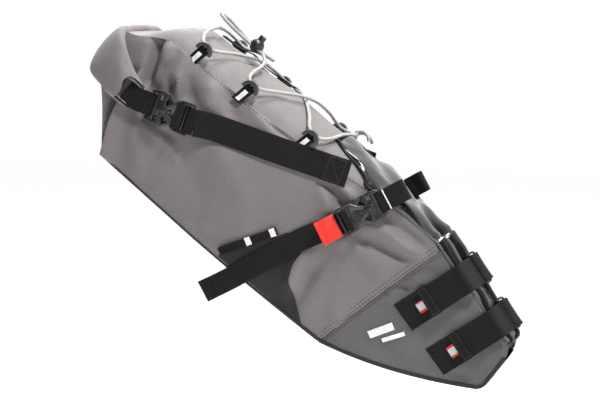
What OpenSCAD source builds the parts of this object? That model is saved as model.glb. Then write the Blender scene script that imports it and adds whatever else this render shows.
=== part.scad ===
// Saddle bag: a roll-top bikepacking seat pack, as it hangs behind a seatpost.
// Origin: centre of the seatpost groove, on the post's axis. +X forward, +Y left, +Z up.
// The bag itself is drawn level, along "u" (forward), "y" and "v" (up), and tilted as a whole.

/* [Attitude] */
// Rise of the bag towards its rear, degrees
bag_tilt = 40; // [30:1:45]
// Slope of the seatpost to the bag's own long direction, degrees
post_slope = 16; // [12:1:20]

/* [Bag body] */
// Width across the base at the rear
base_w = 160; // [140:2:170]
// Width across the top seams at the rear
top_w = 136; // [120:2:140]
// Width across the nose
nose_w = 60; // [56:1:66]
// Depth of the base below the seatpost's axis
base_depth = 157; // [145:1:165]
// How far the filled sides swell out
swell = 14; // [8:1:18]
// How far the filled top swells up
crown_h = 11; // [6:1:14]
// Thickness of the coated fabric panels
fabric_t = 1.6; // [1:0.1:2]

/* [Seatpost and rails] */
// Diameter of the seatpost that the groove takes
post_d = 31.8; // [31.6:0.1:32]
// Diameter of the eye in each saddle rail loop
rail_eye_d = 7.2; // [7:0.1:7.4]

/* [Webbing] */
// Width of the roll-top straps
roll_web_w = 30; // [25:1:32]
// Width of the saddle rail straps
rail_web_w = 25; // [20:1:27]
// Width of the two seatpost straps
post_strap_w = 34; // [30:1:36]
// Thickness of the webbing
web_t = 1.5; // [1.2:0.1:1.8]

/* [Shock cord] */
// Diameter of the shock cord
cord_d = 4; // [3:0.5:4]
// Diameter of the ball cord lock
lock_d = 17; // [16:0.5:18]

/* [Hidden] */
$fn = 48;

// Smallest gap left between two pieces
gap = 0.4;
post_r = post_d / 2;
// Ends of the panels along u
rear_u = -424;
seam_u = -104;
seam_rake = 39;
gloss_u = -240;
channel_u = -72;
nose_u = 64;
// Hooks of the shock cord, along u
hook_us = [-411, -343, -256];
hook_len = 20;
// Seatpost straps, along the post
strap_xs = [-28, 33];
// Buckles: [u, v, direction in degrees, lift off the side]
roll_joint = [-410, -68, 19, 5];
rail_joint = [-153, 8, 249, 6];
socket_l = 24;
plug_l = 20;
buckle_t = 9;
rail_eye_x = -34;
rail_eye_z = 2;
slot_t = 2 * web_t + 1;

// ---- Form of the filled bag ----
function ease(t) = let (c = min(max(t, 0), 1)) c * c * (3 - 2 * c);
function mix(a, b, t) = a + (b - a) * t;
function unit(w) = w / norm(w);
function narrowing(u) = ease((70 - u) / 370);
function base_half(u) = mix(nose_w, base_w, narrowing(u)) / 2;
function top_half(u) = mix(nose_w, top_w, narrowing(u)) / 2;
function base_v(u) = let (d = max(0, u - seam_u)) -base_depth + 0.225 * d + 0.00134 * d * d;
function top_v(u) = u < -76
    ? 22 + 0.03 * (u + 76)
    : -u * tan(post_slope) - 0.12 * pow(max(0, u - 55), 2);
function bulge(u) = mix(0.3, 1, ease((40 - u) / 250)) * swell * ease((u + 490) / 120);
function crown(u) = crown_h * ease((-80 - u) / 110);
function side_y(u, v) =
    let (t = (v - base_v(u)) / (top_v(u) - base_v(u)), c = min(max(t, 0), 1))
    mix(base_half(u), top_half(u), c) + 4 * c * (1 - c) * bulge(u);
function side_point(u, v, lift) = [u, -side_y(u, v) - lift, v];
function rear_edge(t) = rear_u - 12 * t - 22 * sin(180 * t);
function seam_edge(t) = seam_u + seam_rake * t;

// ---- Solids from grids and rings ----
function two_triangles(a, b, c, d) = [[a, b, c], [a, c, d]];

// A thin closed sheet between an outer and an inner grid of points
module sheet(outer, inner) {
    n = len(outer);
    m = len(outer[0]);
    o = n * m;
    top = [for (i = [0:n - 2], j = [0:m - 2])
        each two_triangles(i * m + j, (i + 1) * m + j, (i + 1) * m + j + 1, i * m + j + 1)];
    bottom = [for (f = top) [f[2] + o, f[1] + o, f[0] + o]];
    along = [for (i = [0:n - 2]) each concat(
        two_triangles(i * m, o + i * m, o + (i + 1) * m, (i + 1) * m),
        two_triangles((i + 2) * m - 1, o + (i + 2) * m - 1, o + (i + 1) * m - 1, (i + 1) * m - 1))];
    across = [for (j = [0:m - 2]) each concat(
        two_triangles(j + 1, o + j + 1, o + j, j),
        two_triangles(o - m + j, 2 * o - m + j, 2 * o - m + j + 1, o - m + j + 1))];
    polyhedron(concat([for (r = outer) each r], [for (r = inner) each r]),
        concat(top, bottom, along, across));
}

// A solid through closed rings: capped at both ends, or joined into a hoop of rings
module loft(rings, hoop = false) {
    n = len(rings);
    m = len(rings[0]);
    skin = [for (i = [0:hoop ? n - 1 : n - 2], k = [0:m - 1])
        let (a = i * m, b = (i + 1) % n * m, l = (k + 1) % m)
        each two_triangles(a + k, b + k, b + l, a + l)];
    caps = hoop ? [] : [[for (k = [0:m - 1]) k], [for (k = [m - 1:-1:0]) (n - 1) * m + k]];
    polyhedron([for (r = rings) each r], concat(skin, caps));
}

// Webbing laid on the right-hand side along points of [u, v, lift]
module ribbon(path, width, thick = web_t) {
    n = len(path);
    rings = [for (i = [0:n - 1])
        let (
            a = path[max(i - 1, 0)],
            b = path[min(i + 1, n - 1)],
            t = unit([b[0] - a[0], b[1] - a[1]]),
            w = [-t[1], t[0]] * width / 2,
            p = path[i]
        ) [
            side_point(p[0] - w[0], p[1] - w[1], p[2]),
            side_point(p[0] + w[0], p[1] + w[1], p[2]),
            side_point(p[0] + w[0], p[1] + w[1], p[2] + thick),
            side_point(p[0] - w[0], p[1] - w[1], p[2] + thick)
        ]];
    loft(rings);
}
// Points between two ends, [u, v, lift] each
function run(a, b, steps) = [for (i = [0:steps]) mix(a, b, i / steps)];

// Outline of webbing seen edge on: a line of points given a thickness
function offset_line(line, d) = [for (i = [0:len(line) - 1])
    let (
        a = i == 0 ? line[0] - (line[1] - line[0]) : line[i - 1],
        b = i == len(line) - 1 ? line[i] + (line[i] - line[i - 1]) : line[i + 1],
        p = unit(line[i] - a),
        q = unit(b - line[i]),
        w = unit([-p[1] - q[1], p[0] + q[0]]),
        m = d / max(0.4, w * [-p[1], p[0]])
    ) line[i] + m * w];
function reversed(line) = [for (i = [len(line) - 1:-1:0]) line[i]];
function thick_line(line, t) = concat(offset_line(line, t / 2), reversed(offset_line(line, -t / 2)));
// Webbing folded in the x-z plane of a buckle
module strip(line, width, thick = web_t)
    rotate([90, 0, 0]) linear_extrude(width, center = true) polygon(thick_line(line, thick));

// ---- Placing ----
module tilted() rotate([0, bag_tilt, 0]) children();
module on_post() rotate([0, bag_tilt + post_slope, 0]) children();
// Draws the right-hand piece, or its mirror image for the left
module sided(left) mirror([0, left ? 1 : 0, 0]) children();
// Frame of a place [u, v, direction, lift] on the right-hand side: x along the strap, z outwards
function side_frame(place, flat = false) =
    let (
        u = place[0],
        v = place[1],
        a = place[2],
        fu = flat ? 0 : (side_y(u + 1, v) - side_y(u - 1, v)) / 2,
        fv = flat ? 0 : (side_y(u, v + 1) - side_y(u, v - 1)) / 2,
        x = unit([cos(a), -fu * cos(a) - fv * sin(a), sin(a)]),
        z = unit([-fu, -1, -fv])
    ) [x, cross(z, x), z, side_point(u, v, place[3])];
module on_side(place, flat = false) {
    f = side_frame(place, flat);
    multmatrix([for (r = [0:3]) r == 3 ? [0, 0, 0, 1] : [f[0][r], f[1][r], f[2][r], f[3][r]]]) children();
}
// A point of such a frame, written as [u, v, lift] for a ribbon
function off_side(place, x, z, flat = false) =
    let (f = side_frame(place, flat), p = f[3] + x * f[0] + z * f[2])
    [p[0], p[2], -p[1] - side_y(p[0], p[2])];

// ---- Fabric panels ----
module side_skin(rear, front, steps) {
    function row(i, inset) = [for (j = [8:-1:0])
        let (
            t = j / 8,
            u = mix(rear[j], front[j], i / steps),
            v = mix(base_v(u) + fabric_t + gap, top_v(u) - fabric_t - gap, t)
        ) side_point(u, v, -inset)];
    sheet([for (i = [0:steps]) row(i, 0)], [for (i = [0:steps]) row(i, fabric_t)]);
}
module side_panel(left) color("#787370") tilted() sided(left)
    side_skin([for (j = [0:8]) rear_edge(j / 8)], [for (j = [0:8]) seam_edge(j / 8) - gap], 20);
module nose_panel(left) color("#74706e") tilted() sided(left)
    side_skin([for (j = [0:8]) seam_edge(j / 8)], [for (j = [0:8]) nose_u], 12);
module side_panel_right() side_panel(false);
module side_panel_left() side_panel(true);
module nose_panel_right() nose_panel(false);
module nose_panel_left() nose_panel(true);

// Line of the base along the middle of the bag: level, rising, then up the nose as a cup
nose_turn_r = 14;
nose_rise = atan(0.225 + 0.00268 * (nose_u - 2 - seam_u));
base_end = [nose_u - 2, base_v(nose_u - 2)];
turn_c = base_end + nose_turn_r * [-sin(nose_rise), cos(nose_rise)];
base_line = concat(
    [for (i = [0:10]) let (u = mix(rear_u, seam_u, i / 10)) [u, base_v(u)]],
    [for (i = [1:9]) let (u = mix(seam_u, nose_u - 2, i / 9)) [u, base_v(u)]],
    [for (i = [1:4]) turn_c + nose_turn_r * [sin(mix(nose_rise, 90, i / 4)), -cos(mix(nose_rise, 90, i / 4))]],
    [[nose_u + 3, -48], [nose_u + 2, -33]]
);
function line_normal(line, i) =
    let (t = unit(line[min(i + 1, len(line) - 1)] - line[max(i - 1, 0)])) [t[1], -t[0]];
module base_skin(line, across, rim_dip, inset, thick) {
    n = len(line);
    function row(i, depth) = [for (j = [-4:4])
        let (
            s = j / 4,
            w = line_normal(line, i),
            dip = i == n - 1 ? rim_dip * (1 - s * s) : 0,
            p = line[i] - depth * w
        ) [p[0], s * (base_half(line[i][0]) - across), p[1] - dip]];
    sheet([for (i = [0:n - 1]) row(i, inset)], [for (i = [0:n - 1]) row(i, inset + thick)]);
}
module base_panel() color("#3a3a3c") tilted() base_skin(base_line, 0, 8, 0, fabric_t);
module base_stiffener() color("#202022") tilted()
    base_skin([for (i = [2:19]) base_line[i]], 6, 0, fabric_t + gap, 2);

module top_skin(rear, front, steps) {
    function row(i, depth) = [for (j = [4:-1:-4])
        let (s = j / 4, u = mix(rear, front, i / steps))
        [u, s * top_half(u), top_v(u) + crown(u) * (1 - s * s) - depth]];
    sheet([for (i = [0:steps]) row(i, 0)], [for (i = [0:steps]) row(i, fabric_t)]);
}
module top_panel_rear() color("#6f6b69") tilted() top_skin(rear_edge(1), gloss_u - gap, 10);
module top_panel_front() color("#17171a") tilted() top_skin(gloss_u, channel_u, 10);

// Glossy padded front with the half-round groove that lies against the seatpost
module seatpost_channel() color("#141416") on_post() difference() {
    translate([0, 0, -24]) linear_extrude(23) polygon([
        [-72, -40], [-6, -31.6], [58, -27.6], [58, 27.6], [-6, 31.6], [-72, 40]
    ]);
    translate([-200, 0, 0]) rotate([0, 90, 0]) cylinder(h = 400, r = post_r, $fn = 96);
}

// ---- Collar: from the rear of the panels to the flat mouth that is rolled up ----
mouth = [-488, -66, 62, 22];
function body_ring(k, n, inset) =
    let (q = floor(4 * k / n), s = 4 * k / n - q, u = rear_edge(0), w = rear_edge(1))
    q == 0 ? [u - gap, mix(1, -1, s) * (base_half(u) - inset), base_v(u) + inset] :
    q == 1 ? let (e = rear_edge(s) - gap, v = mix(base_v(e) + inset, top_v(e) - inset, s))
        [e, -side_y(e, v) + inset, v] :
    q == 2 ? let (c = mix(-1, 1, s))
        [w - gap, c * (top_half(w) - inset), top_v(w) + crown(w) * (1 - c * c) - inset] :
        let (e = rear_edge(1 - s) - gap, v = mix(top_v(e) - inset, base_v(e) + inset, s))
        [e, side_y(e, v) - inset, v];
function mouth_ring(k, n, inset) =
    let (a = -45 - 360 * k / n)
    [mouth[0], (mouth[2] - inset) * cos(a), mouth[1] + (mouth[3] - inset) * sin(a)];
module collar() {
    n = 32;
    steps = 4;
    function ring(i, inset) = [for (k = [0:n - 1])
        mix(body_ring(k, n, inset), mouth_ring(k, n, inset), i / steps)];
    color("#716d6b") tilted() loft(
        concat([for (i = [0:steps]) ring(i, 0)], [for (i = [steps:-1:0]) ring(i, fabric_t)]), true);
}

// ---- Roll: the mouth rolled round a stiffener, its ends drawn forward along both sides ----
// Half of its line, from the right-hand end to the middle: [u, y, centre v, height, thickness]
roll_half = [
    [-437, -91, -76, 37, 12], [-455, -90, -74, 43, 13], [-472, -88, -70, 48, 15],
    [-487, -82, -67, 56, 18], [-497, -71, -66, 57, 20], [-502, -56, -66, 57, 20],
    [-503, -36, -66, 57, 20], [-504, -18, -66, 57, 20], [-504, 0, -66, 57, 20]
];
roll_line = concat(roll_half, [for (i = [7:-1:0]) let (p = roll_half[i]) [p[0], -p[1], p[2], p[3], p[4]]]);
function roll_ring(i, grow_v, grow_t) =
    let (
        a = roll_line[max(i - 1, 0)],
        b = roll_line[min(i + 1, len(roll_line) - 1)],
        t = unit([b[0] - a[0], b[1] - a[1]]),
        p = roll_line[i]
    ) [for (k = [0:15])
        let (
            c = cos(22.5 * k),
            s = sin(22.5 * k),
            r = p[4] / 2 * grow_t * c,
            h = p[3] / 2 * grow_v * s
        ) [p[0] - t[1] * r, p[1] + t[0] * r, p[2] + h]];
module roll_top() {
    last = len(roll_line) - 1;
    color("#6a6664") tilted() loft(concat(
        [for (i = [0:last]) roll_ring(i, 1, 1)],
        [for (i = [last:-1:0]) roll_ring(i, 0.88, 0.5)]
    ), true);
}
module roll_stiffener() color("#2a2a2c") tilted()
    loft([for (i = [1:len(roll_line) - 2]) roll_ring(i, 0.45, 0.14)]);

// ---- Buckles, x along the strap towards the plug, z outwards ----
// Side-release socket with a cavity open towards +x, and a bar slot for its webbing
module socket(w) difference() {
    linear_extrude(buckle_t) polygon([
        [-8, -w / 2], [-4, -w / 2 - 3.5], [socket_l - 6, -w / 2 - 4.5], [socket_l, -w / 2 - 3],
        [socket_l, w / 2 + 3], [socket_l - 6, w / 2 + 4.5], [-4, w / 2 + 3.5], [-8, w / 2]
    ]);
    translate([2, -w / 2 - 0.5, 2]) cube([socket_l, w + 1, buckle_t - 4]);
    for (s = [-1, 1]) translate([6, s * (w / 2 + 2.5) - 3, 2]) cube([10, 6, buckle_t - 4]);
    translate([-4.5, -w / 2 - 0.5, -1]) cube([slot_t, w + 1, buckle_t + 2]);
    translate([-9, -w / 2 - 0.5, 4]) cube([8, w + 1, buckle_t]);
}
// Plug: two prongs and a guide in the socket, and a ladder of bars for the webbing
module plug(w) {
    translate([0, 0, 2.5]) {
        for (s = [-1, 1]) linear_extrude(buckle_t - 5) polygon([
            [socket_l + 2, s * (w / 2 - 7)], [8, s * (w / 2 - 5)], [5, s * (w / 2 - 3)],
            [7, s * w / 2], [14, s * w / 2], [16, s * (w / 2 - 3)], [socket_l + 2, s * (w / 2 - 3)]
        ]);
        translate([6, -2, 0]) cube([socket_l - 4, 4, buckle_t - 5]);
    }
    difference() {
        linear_extrude(buckle_t) polygon([
            [socket_l + gap, -w / 2 - 2], [socket_l + plug_l, -w / 2 - 3],
            [socket_l + plug_l, w / 2 + 3], [socket_l + gap, w / 2 + 2]
        ]);
        for (x = [7, 14]) translate([socket_l + x, -w / 2 - 0.6, -1]) cube([slot_t, w + 1.2, buckle_t + 2]);
        translate([socket_l + 6.9, -w / 2 - 0.6, 6]) cube([20, w + 1.2, buckle_t]);
        translate([socket_l + 6.9, -w / 2 - 0.6, -1]) cube([slot_t * 2 + 3.2, w + 1.2, 3]);
    }
}

// ---- Roll-top closure: end webbings and sockets on the roll, plugs and straps on the bag ----
module at_roll_joint(left) tilted() sided(left) on_side(roll_joint, flat = true) children();
module roll_socket(left) color("#1b1b1d") at_roll_joint(left) socket(roll_web_w);
module roll_plug(left) color("#1b1b1d") at_roll_joint(left) plug(roll_web_w);
module roll_end_webbing(left) {
    color("#1d1d1f") {
        at_roll_joint(left) strip([[-2.5, 2.4], [-2.5, 5.2], [-13, 5.2]], roll_web_w - 4);
        tilted() sided(left) ribbon([
            off_side(roll_joint, -12.5, 4.45, true), [-431, -76, 10], [-439, -76.3, 10.7], [-447, -76, 11.4]
        ], roll_web_w - 4);
    }
}
module roll_strap(left) {
    lead = off_side(roll_joint, socket_l + 26, 6.45, true);
    color("#1d1d1f") {
        at_roll_joint(left) strip([
            [socket_l + 2, 10.2], [socket_l + 9, 10.2], [socket_l + 9, 0.9],
            [socket_l + 16, 0.9], [socket_l + 16, 7.2], [socket_l + 27, 7.2]
        ], roll_web_w);
        tilted() sided(left) ribbon(concat(
            [lead, [-349, -45, 5], [-335, -39.3, 2.6]],
            run([-320, -33.5, 2.6], [-202, 12, 2.6], 8)
        ), roll_web_w);
    }
}
module roll_socket_right() roll_socket(false);
module roll_socket_left() roll_socket(true);
module roll_plug_right() roll_plug(false);
module roll_plug_left() roll_plug(true);
module roll_end_webbing_right() roll_end_webbing(false);
module roll_end_webbing_left() roll_end_webbing(true);
module roll_strap_right() roll_strap(false);
module roll_strap_left() roll_strap(true);

// ---- Saddle rail straps: sewn to the side, through the plug's ladder and back as a free tail ----
module at_rail_joint(left) tilted() sided(left) on_side(rail_joint) children();
module rail_socket(left) color("#1b1b1d") at_rail_joint(left) socket(rail_web_w);
module rail_plug(left) color("#1b1b1d") at_rail_joint(left) plug(rail_web_w);
module pull_tab(left) color("#d8321f") at_rail_joint(left)
    translate([socket_l + 24, -rail_web_w / 2 - 1.5, 0.6]) cube([24, rail_web_w + 3, 2]);
module rail_strap(left) {
    low = off_side(rail_joint, socket_l + 23, -3.95);
    high = off_side(rail_joint, socket_l + 23, -1.95);
    color("#1d1d1f") {
        at_rail_joint(left) strip([
            [socket_l + 24, -3.2], [socket_l + 9, -3.2], [socket_l + 9, 7.2],
            [socket_l + 16, 7.2], [socket_l + 16, -1.2], [socket_l + 24, -1.2]
        ], rail_web_w - 0.8);
        tilted() sided(left) {
            ribbon(run(low, [-206, -118, 1.8], 8), rail_web_w);
            ribbon(concat(run(high, [-206, -118, 3.8], 8), run([-212, -133, 3.6], [-237, -195, 3], 6)),
                rail_web_w);
        }
    }
}
// Loop over the saddle rail: an eye at its top, one leg to the socket, one sewn to the top seam
module rail_loop(left) {
    r = rail_eye_d / 2;
    c = r + web_t / 2;
    w = rail_web_w - 1;
    color("#1d1d1f") at_rail_joint(left) difference() {
        union() {
            translate([rail_eye_x, 0, rail_eye_z]) rotate([90, 0, 0]) cylinder(h = w, r = r + web_t, center = true);
            strip([[rail_eye_x + 1, rail_eye_z + c], [-16, 5.6], [-2.5, 5.2], [-2.5, 2.4]], w);
            strip([[rail_eye_x + 1, rail_eye_z - c], [-22, rail_eye_z - c], [-18, -5]], w);
        }
        translate([rail_eye_x, 0, rail_eye_z]) rotate([90, 0, 0]) cylinder(h = 2 * w, r = r, center = true);
    }
}
module rail_socket_right() rail_socket(false);
module rail_socket_left() rail_socket(true);
module rail_plug_right() rail_plug(false);
module rail_plug_left() rail_plug(true);
module pull_tab_right() pull_tab(false);
module pull_tab_left() pull_tab(true);
module rail_strap_right() rail_strap(false);
module rail_strap_left() rail_strap(true);
module rail_loop_right() rail_loop(false);
module rail_loop_left() rail_loop(true);

// ---- Trim sewn to the sides and the top ----
module wear_patch(left) {
    function row(i, lift) = [for (j = [5:-1:0])
        let (t = j / 5, u = mix(mix(-250, -206, t), mix(-146, -184, t), i / 5), v = mix(-153, -82, t))
        side_point(u, v, lift)];
    color("#1a1a1c") tilted() sided(left)
        sheet([for (i = [0:5]) row(i, 1.4)], [for (i = [0:5]) row(i, 0.5)]);
}
module wear_patch_right() wear_patch(false);
module wear_patch_left() wear_patch(true);
module daisy_webbing(left) color("#1d1d1f") tilted() sided(left)
    ribbon(run([-252, -147, 0.5], [-216, -84, 0.5], 4), 8, 0.8);
module daisy_webbing_right() daisy_webbing(false);
module daisy_webbing_left() daisy_webbing(true);
module haul_webbing() {
    function row(i, lift) = [for (j = [2:-1:0])
        let (y = 44 + 8 * j, u = mix(-430, -312, i / 6))
        [u, y, top_v(u) + crown(u) * (1 - pow(y / top_half(u), 2)) + lift]];
    color("#1d1d1f") tilted() sheet([for (i = [0:6]) row(i, 1.4)], [for (i = [0:6]) row(i, 0.4)]);
}

// ---- Shock cord: hooks on tabs along both top seams, the cord, its knot and its lock ----
module each_hook() for (left = [false, true], u = hook_us)
    tilted() sided(left) translate([u, -top_half(u), top_v(u)]) children();
module hook_tabs() color("#1d1d1f") for (left = [false, true], u = hook_us)
    tilted() sided(left) ribbon([[u, top_v(u) - 20, 0.5], [u, top_v(u) - 11, 0.5], [u, top_v(u) - 2, 0.5]], 15);
module cord_hooks() color("#4a4a4d") each_hook() difference() {
    translate([0, -0.5, -1]) rotate([90, 0, 0]) intersection() {
        cylinder(h = 7, r = hook_len / 2);
        translate([-hook_len, 0, 0]) cube([2 * hook_len, hook_len, 7]);
    }
    translate([-hook_len, -1, 4.5]) rotate([0, 90, 0]) cylinder(h = 2 * hook_len, r = cord_d / 2 + 0.6);
    translate([-hook_len, -1, 4.5 - cord_d / 2 - 0.6]) cube([2 * hook_len, 10, cord_d + 1.2]);
}
// Route of the cord, [u, y, v]: from the knot round all six hooks, out through the lock and back
cord_route = [
    [-236, 59, 27], [-235, 38, 30], [-236, 12, 32], [-238, -18, 32], [-240, -45, 28],
    [-246, -62, 23], [-256, -67.5, 21], [-266, -62, 24],
    [-276, -44, 29], [-290, -16, 31], [-306, 14, 31], [-322, 44, 27],
    [-333, 63, 20.5], [-343, 69, 18.5], [-353, 64, 20.5],
    [-362, 44, 24], [-370, 20, 27], [-379, -6, 27], [-390, -38, 24],
    [-401, -63, 18.5], [-411, -69, 16.5], [-421, -63, 18.5],
    [-429, -40, 23], [-431, 0, 27], [-429, 40, 23],
    [-421, 63, 18.5], [-411, 69, 16.5], [-401, 63, 18.5],
    [-386, 46, 27], [-370, 36, 33], [-361, 24, 36.5], [-372, 14, 37], [-384, 14, 37], [-396, 14, 37],
    [-414, 19, 38.5], [-430, 19, 40], [-440, 10, 40.5], [-430, 1, 40], [-414, 1, 38.5],
    [-396, 6, 37], [-384, 6, 37], [-372, 6, 37], [-362, -7, 35], [-358, -26, 30.5], [-357, -46, 25], [-353, -62, 20.5], [-343, -69, 18.5], [-333, -63, 20.5],
    [-318, -44, 28], [-302, -16, 35], [-288, 12, 36], [-274, 42, 30],
    [-265, 61, 23.5], [-256, 67.5, 21], [-244, 67, 23.5]
];
// A point of the smooth curve through the route
function smooth(line, i, t) =
    let (
        n = len(line) - 1,
        a = line[max(i - 1, 0)], b = line[i], c = line[min(i + 1, n)], d = line[min(i + 2, n)]
    ) 0.5 * (2 * b + (c - a) * t + (2 * a - 5 * b + 4 * c - d) * t * t + (3 * b - a - 3 * c + d) * t * t * t);
function smooth_line(line) = concat(
    [for (i = [0:len(line) - 2], k = [0, 1]) if (k == 0 || i % 2 == 0) smooth(line, i, k / 2)],
    [line[len(line) - 1]]);
module round_cord(line, d, sides) {
    n = len(line);
    rings = [for (i = [0:n - 1])
        let (
            t = unit(line[min(i + 1, n - 1)] - line[max(i - 1, 0)]),
            x = unit(cross([0, 0, 1], t)),
            y = cross(t, x)
        ) [for (k = [0:sides - 1]) line[i] + d / 2 * (cos(360 * k / sides) * x + sin(360 * k / sides) * y)]];
    loft(rings);
}
module shock_cord() color("#a9a9a6") tilted() round_cord(smooth_line(cord_route), cord_d, 8);
knot_at = [-237, 66, 26];
module cord_knot() color("#a9a9a6") tilted() translate(knot_at) sphere(r = 6.5, $fn = 32);
lock_at = [-384, 10, 39.5];
module cord_lock_body() color("#1b1b1d") tilted() translate(lock_at) difference() {
    sphere(r = lock_d / 2);
    for (y = [-4, 4]) translate([-20, y, -2.5]) rotate([0, 90, 0]) cylinder(h = 40, r = cord_d / 2 + 0.7);
    translate([0, 0, 1]) cylinder(h = 20, r = 4.6);
}
module cord_lock_button() color("#26262a") tilted() translate(lock_at) {
    translate([0, 0, 5.4]) cylinder(h = 7.4, r = 4.2);
}
module cord_lock_spring() color("#8f9194") tilted() translate(lock_at + [0, 0, 1.2]) difference() {
    cylinder(h = 4, r = 3.4);
    translate([0, 0, -1]) cylinder(h = 6, r = 2.4);
}

// ---- Seatpost straps: x along the post, seen along it as a line of [y, height] ----
strap_t = 2;
strap_lift = 3.8;
strap_turn_z = -26;
strap_end_z = -52;
function post_side(x, z, lift) =
    side_y(x * cos(post_slope) + z * sin(post_slope), -x * sin(post_slope) + z * cos(post_slope)) + lift;
function strap_line(x, lift) =
    let (back = x - post_strap_w / 2, r = post_r + 0.3 + strap_t / 2)
    concat(
        [for (z = [strap_turn_z, -16, -8]) [post_side(back, z, lift), z]],
        [[post_side(back, -2, lift), 1]],
        [for (a = [30:15:150]) r * [cos(a), sin(a)]],
        [[-post_side(back, -2, lift), 1]],
        [for (z = [-8:-11:strap_end_z]) [-post_side(back, z, lift), z]]
    );
module seatpost_strap(x) color("#1d1d1f") on_post() translate([x - post_strap_w / 2, 0, 0])
    rotate([90, 0, 90]) linear_extrude(post_strap_w) polygon(thick_line(strap_line(x, strap_lift), strap_t));
module seatpost_strap_upper() seatpost_strap(strap_xs[0]);
module seatpost_strap_lower() seatpost_strap(strap_xs[1]);
module loop_pad(x) {
    function row(i, lift) = [for (j = [5:-1:0])
        let (z = mix(-82, -42, j / 5), px = x + mix(-post_strap_w / 2, post_strap_w / 2, i / 3))
        [px, -post_side(px, z, lift), z]];
    color("#131315") on_post() sheet([for (i = [0:3]) row(i, 1.5)], [for (i = [0:3]) row(i, 0.5)]);
}
module loop_pad_upper() loop_pad(strap_xs[0]);
module loop_pad_lower() loop_pad(strap_xs[1]);
module strap_label(x) color("#d8321f") on_post()
    translate([x - 7, -post_side(x - post_strap_w / 2, -57, 3.2), strap_end_z - 11]) cube([14, 1.1, 10.8]);
module strap_label_upper() strap_label(strap_xs[0]);
module strap_label_lower() strap_label(strap_xs[1]);
module strap_ring(x) color("#1b1b1d") on_post()
    translate([x, (post_side(x - post_strap_w / 2, -2, strap_lift) + 15) / 2, 5.2]) rotate([-20, 0, 0]) difference() {
        cube([post_strap_w + 8, 5, 8.5], center = true);
        cube([post_strap_w + 1.2, 6, 4.6], center = true);
    }
module strap_ring_upper() strap_ring(strap_xs[0]);
module strap_ring_lower() strap_ring(strap_xs[1]);

side_panel_right();
side_panel_left();
nose_panel_right();
nose_panel_left();
base_panel();
collar();
top_panel_rear();
top_panel_front();
seatpost_channel();
base_stiffener();
wear_patch_right();
wear_patch_left();
haul_webbing();
daisy_webbing_right();
daisy_webbing_left();
roll_top();
roll_stiffener();
roll_end_webbing_right();
roll_end_webbing_left();
roll_socket_right();
roll_socket_left();
roll_plug_right();
roll_plug_left();
roll_strap_right();
roll_strap_left();
rail_strap_right();
rail_strap_left();
rail_plug_right();
rail_plug_left();
pull_tab_right();
pull_tab_left();
rail_socket_right();
rail_socket_left();
rail_loop_right();
rail_loop_left();
hook_tabs();
cord_hooks();
shock_cord();
cord_knot();
cord_lock_body();
cord_lock_button();
cord_lock_spring();
seatpost_strap_upper();
seatpost_strap_lower();
loop_pad_upper();
loop_pad_lower();
strap_label_upper();
strap_label_lower();
strap_ring_upper();
strap_ring_lower();
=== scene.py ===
"""Saddle bag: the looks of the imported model, in its own frame.

Lengths are in mm in the bag's local frame until world() turns them into metres: u runs forward
along the bag, y to the left, v up, and the whole bag is tilted by TILT degrees.
"""
import math

import bmesh
import bpy
import numpy as np
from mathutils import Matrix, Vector

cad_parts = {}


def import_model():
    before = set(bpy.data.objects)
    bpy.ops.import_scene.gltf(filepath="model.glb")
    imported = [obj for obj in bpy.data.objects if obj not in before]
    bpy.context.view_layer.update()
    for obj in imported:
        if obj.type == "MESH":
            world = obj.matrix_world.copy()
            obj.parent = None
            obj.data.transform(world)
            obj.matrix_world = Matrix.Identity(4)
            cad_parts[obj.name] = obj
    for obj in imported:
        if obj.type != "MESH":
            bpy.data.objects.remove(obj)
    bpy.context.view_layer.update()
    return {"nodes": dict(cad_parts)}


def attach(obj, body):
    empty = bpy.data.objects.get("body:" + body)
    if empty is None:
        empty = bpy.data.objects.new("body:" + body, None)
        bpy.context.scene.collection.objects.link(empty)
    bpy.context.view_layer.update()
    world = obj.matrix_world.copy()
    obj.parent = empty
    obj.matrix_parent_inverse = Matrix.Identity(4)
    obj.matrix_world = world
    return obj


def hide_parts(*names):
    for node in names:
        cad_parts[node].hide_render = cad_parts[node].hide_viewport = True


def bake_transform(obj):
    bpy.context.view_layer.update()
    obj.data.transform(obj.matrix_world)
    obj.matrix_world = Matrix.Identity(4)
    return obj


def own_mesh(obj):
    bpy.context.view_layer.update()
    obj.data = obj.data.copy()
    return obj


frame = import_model()

TILT = math.radians(40)
SLOPE = math.radians(16)
MM = 0.001

# ---------------------------------------------------------------- form of the filled bag


def world(p):
    p = np.asarray(p, float)
    u, y, v = p[..., 0], p[..., 1], p[..., 2]
    c, s = math.cos(TILT), math.sin(TILT)
    return np.stack([u * c + v * s, y, -u * s + v * c], -1) * MM


def turn_post(p):
    """Post frame (x along the post, y left, z up from its axis) to the local frame."""
    p = np.asarray(p, float)
    c, s = math.cos(SLOPE), math.sin(SLOPE)
    return np.stack([p[..., 0] * c + p[..., 2] * s, p[..., 1], -p[..., 0] * s + p[..., 2] * c], -1)


def on_post(part):
    """A part given in the post frame, with its points turned into the local frame."""
    pts, faces, uv = part
    return turn_post(pts), faces, uv


def ease(t):
    c = np.clip(t, 0, 1)
    return c * c * (3 - 2 * c)


def mix(a, b, t):
    return a + (b - a) * t


def narrowing(u):
    return ease((70 - u) / 370)


def base_half(u):
    return mix(60, 160, narrowing(u)) / 2


def top_half(u):
    return mix(60, 136, narrowing(u)) / 2


def base_v(u):
    d = np.maximum(0, u + 104)
    return -157 + 0.225 * d + 0.00134 * d * d


def top_v(u):
    return np.where(u < -76, 22 + 0.03 * (u + 76), -u * math.tan(SLOPE) - 0.12 * np.maximum(0, u - 55) ** 2)


def bulge(u):
    return mix(0.3, 1, ease((40 - u) / 250)) * 14 * ease((u + 490) / 120)


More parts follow.
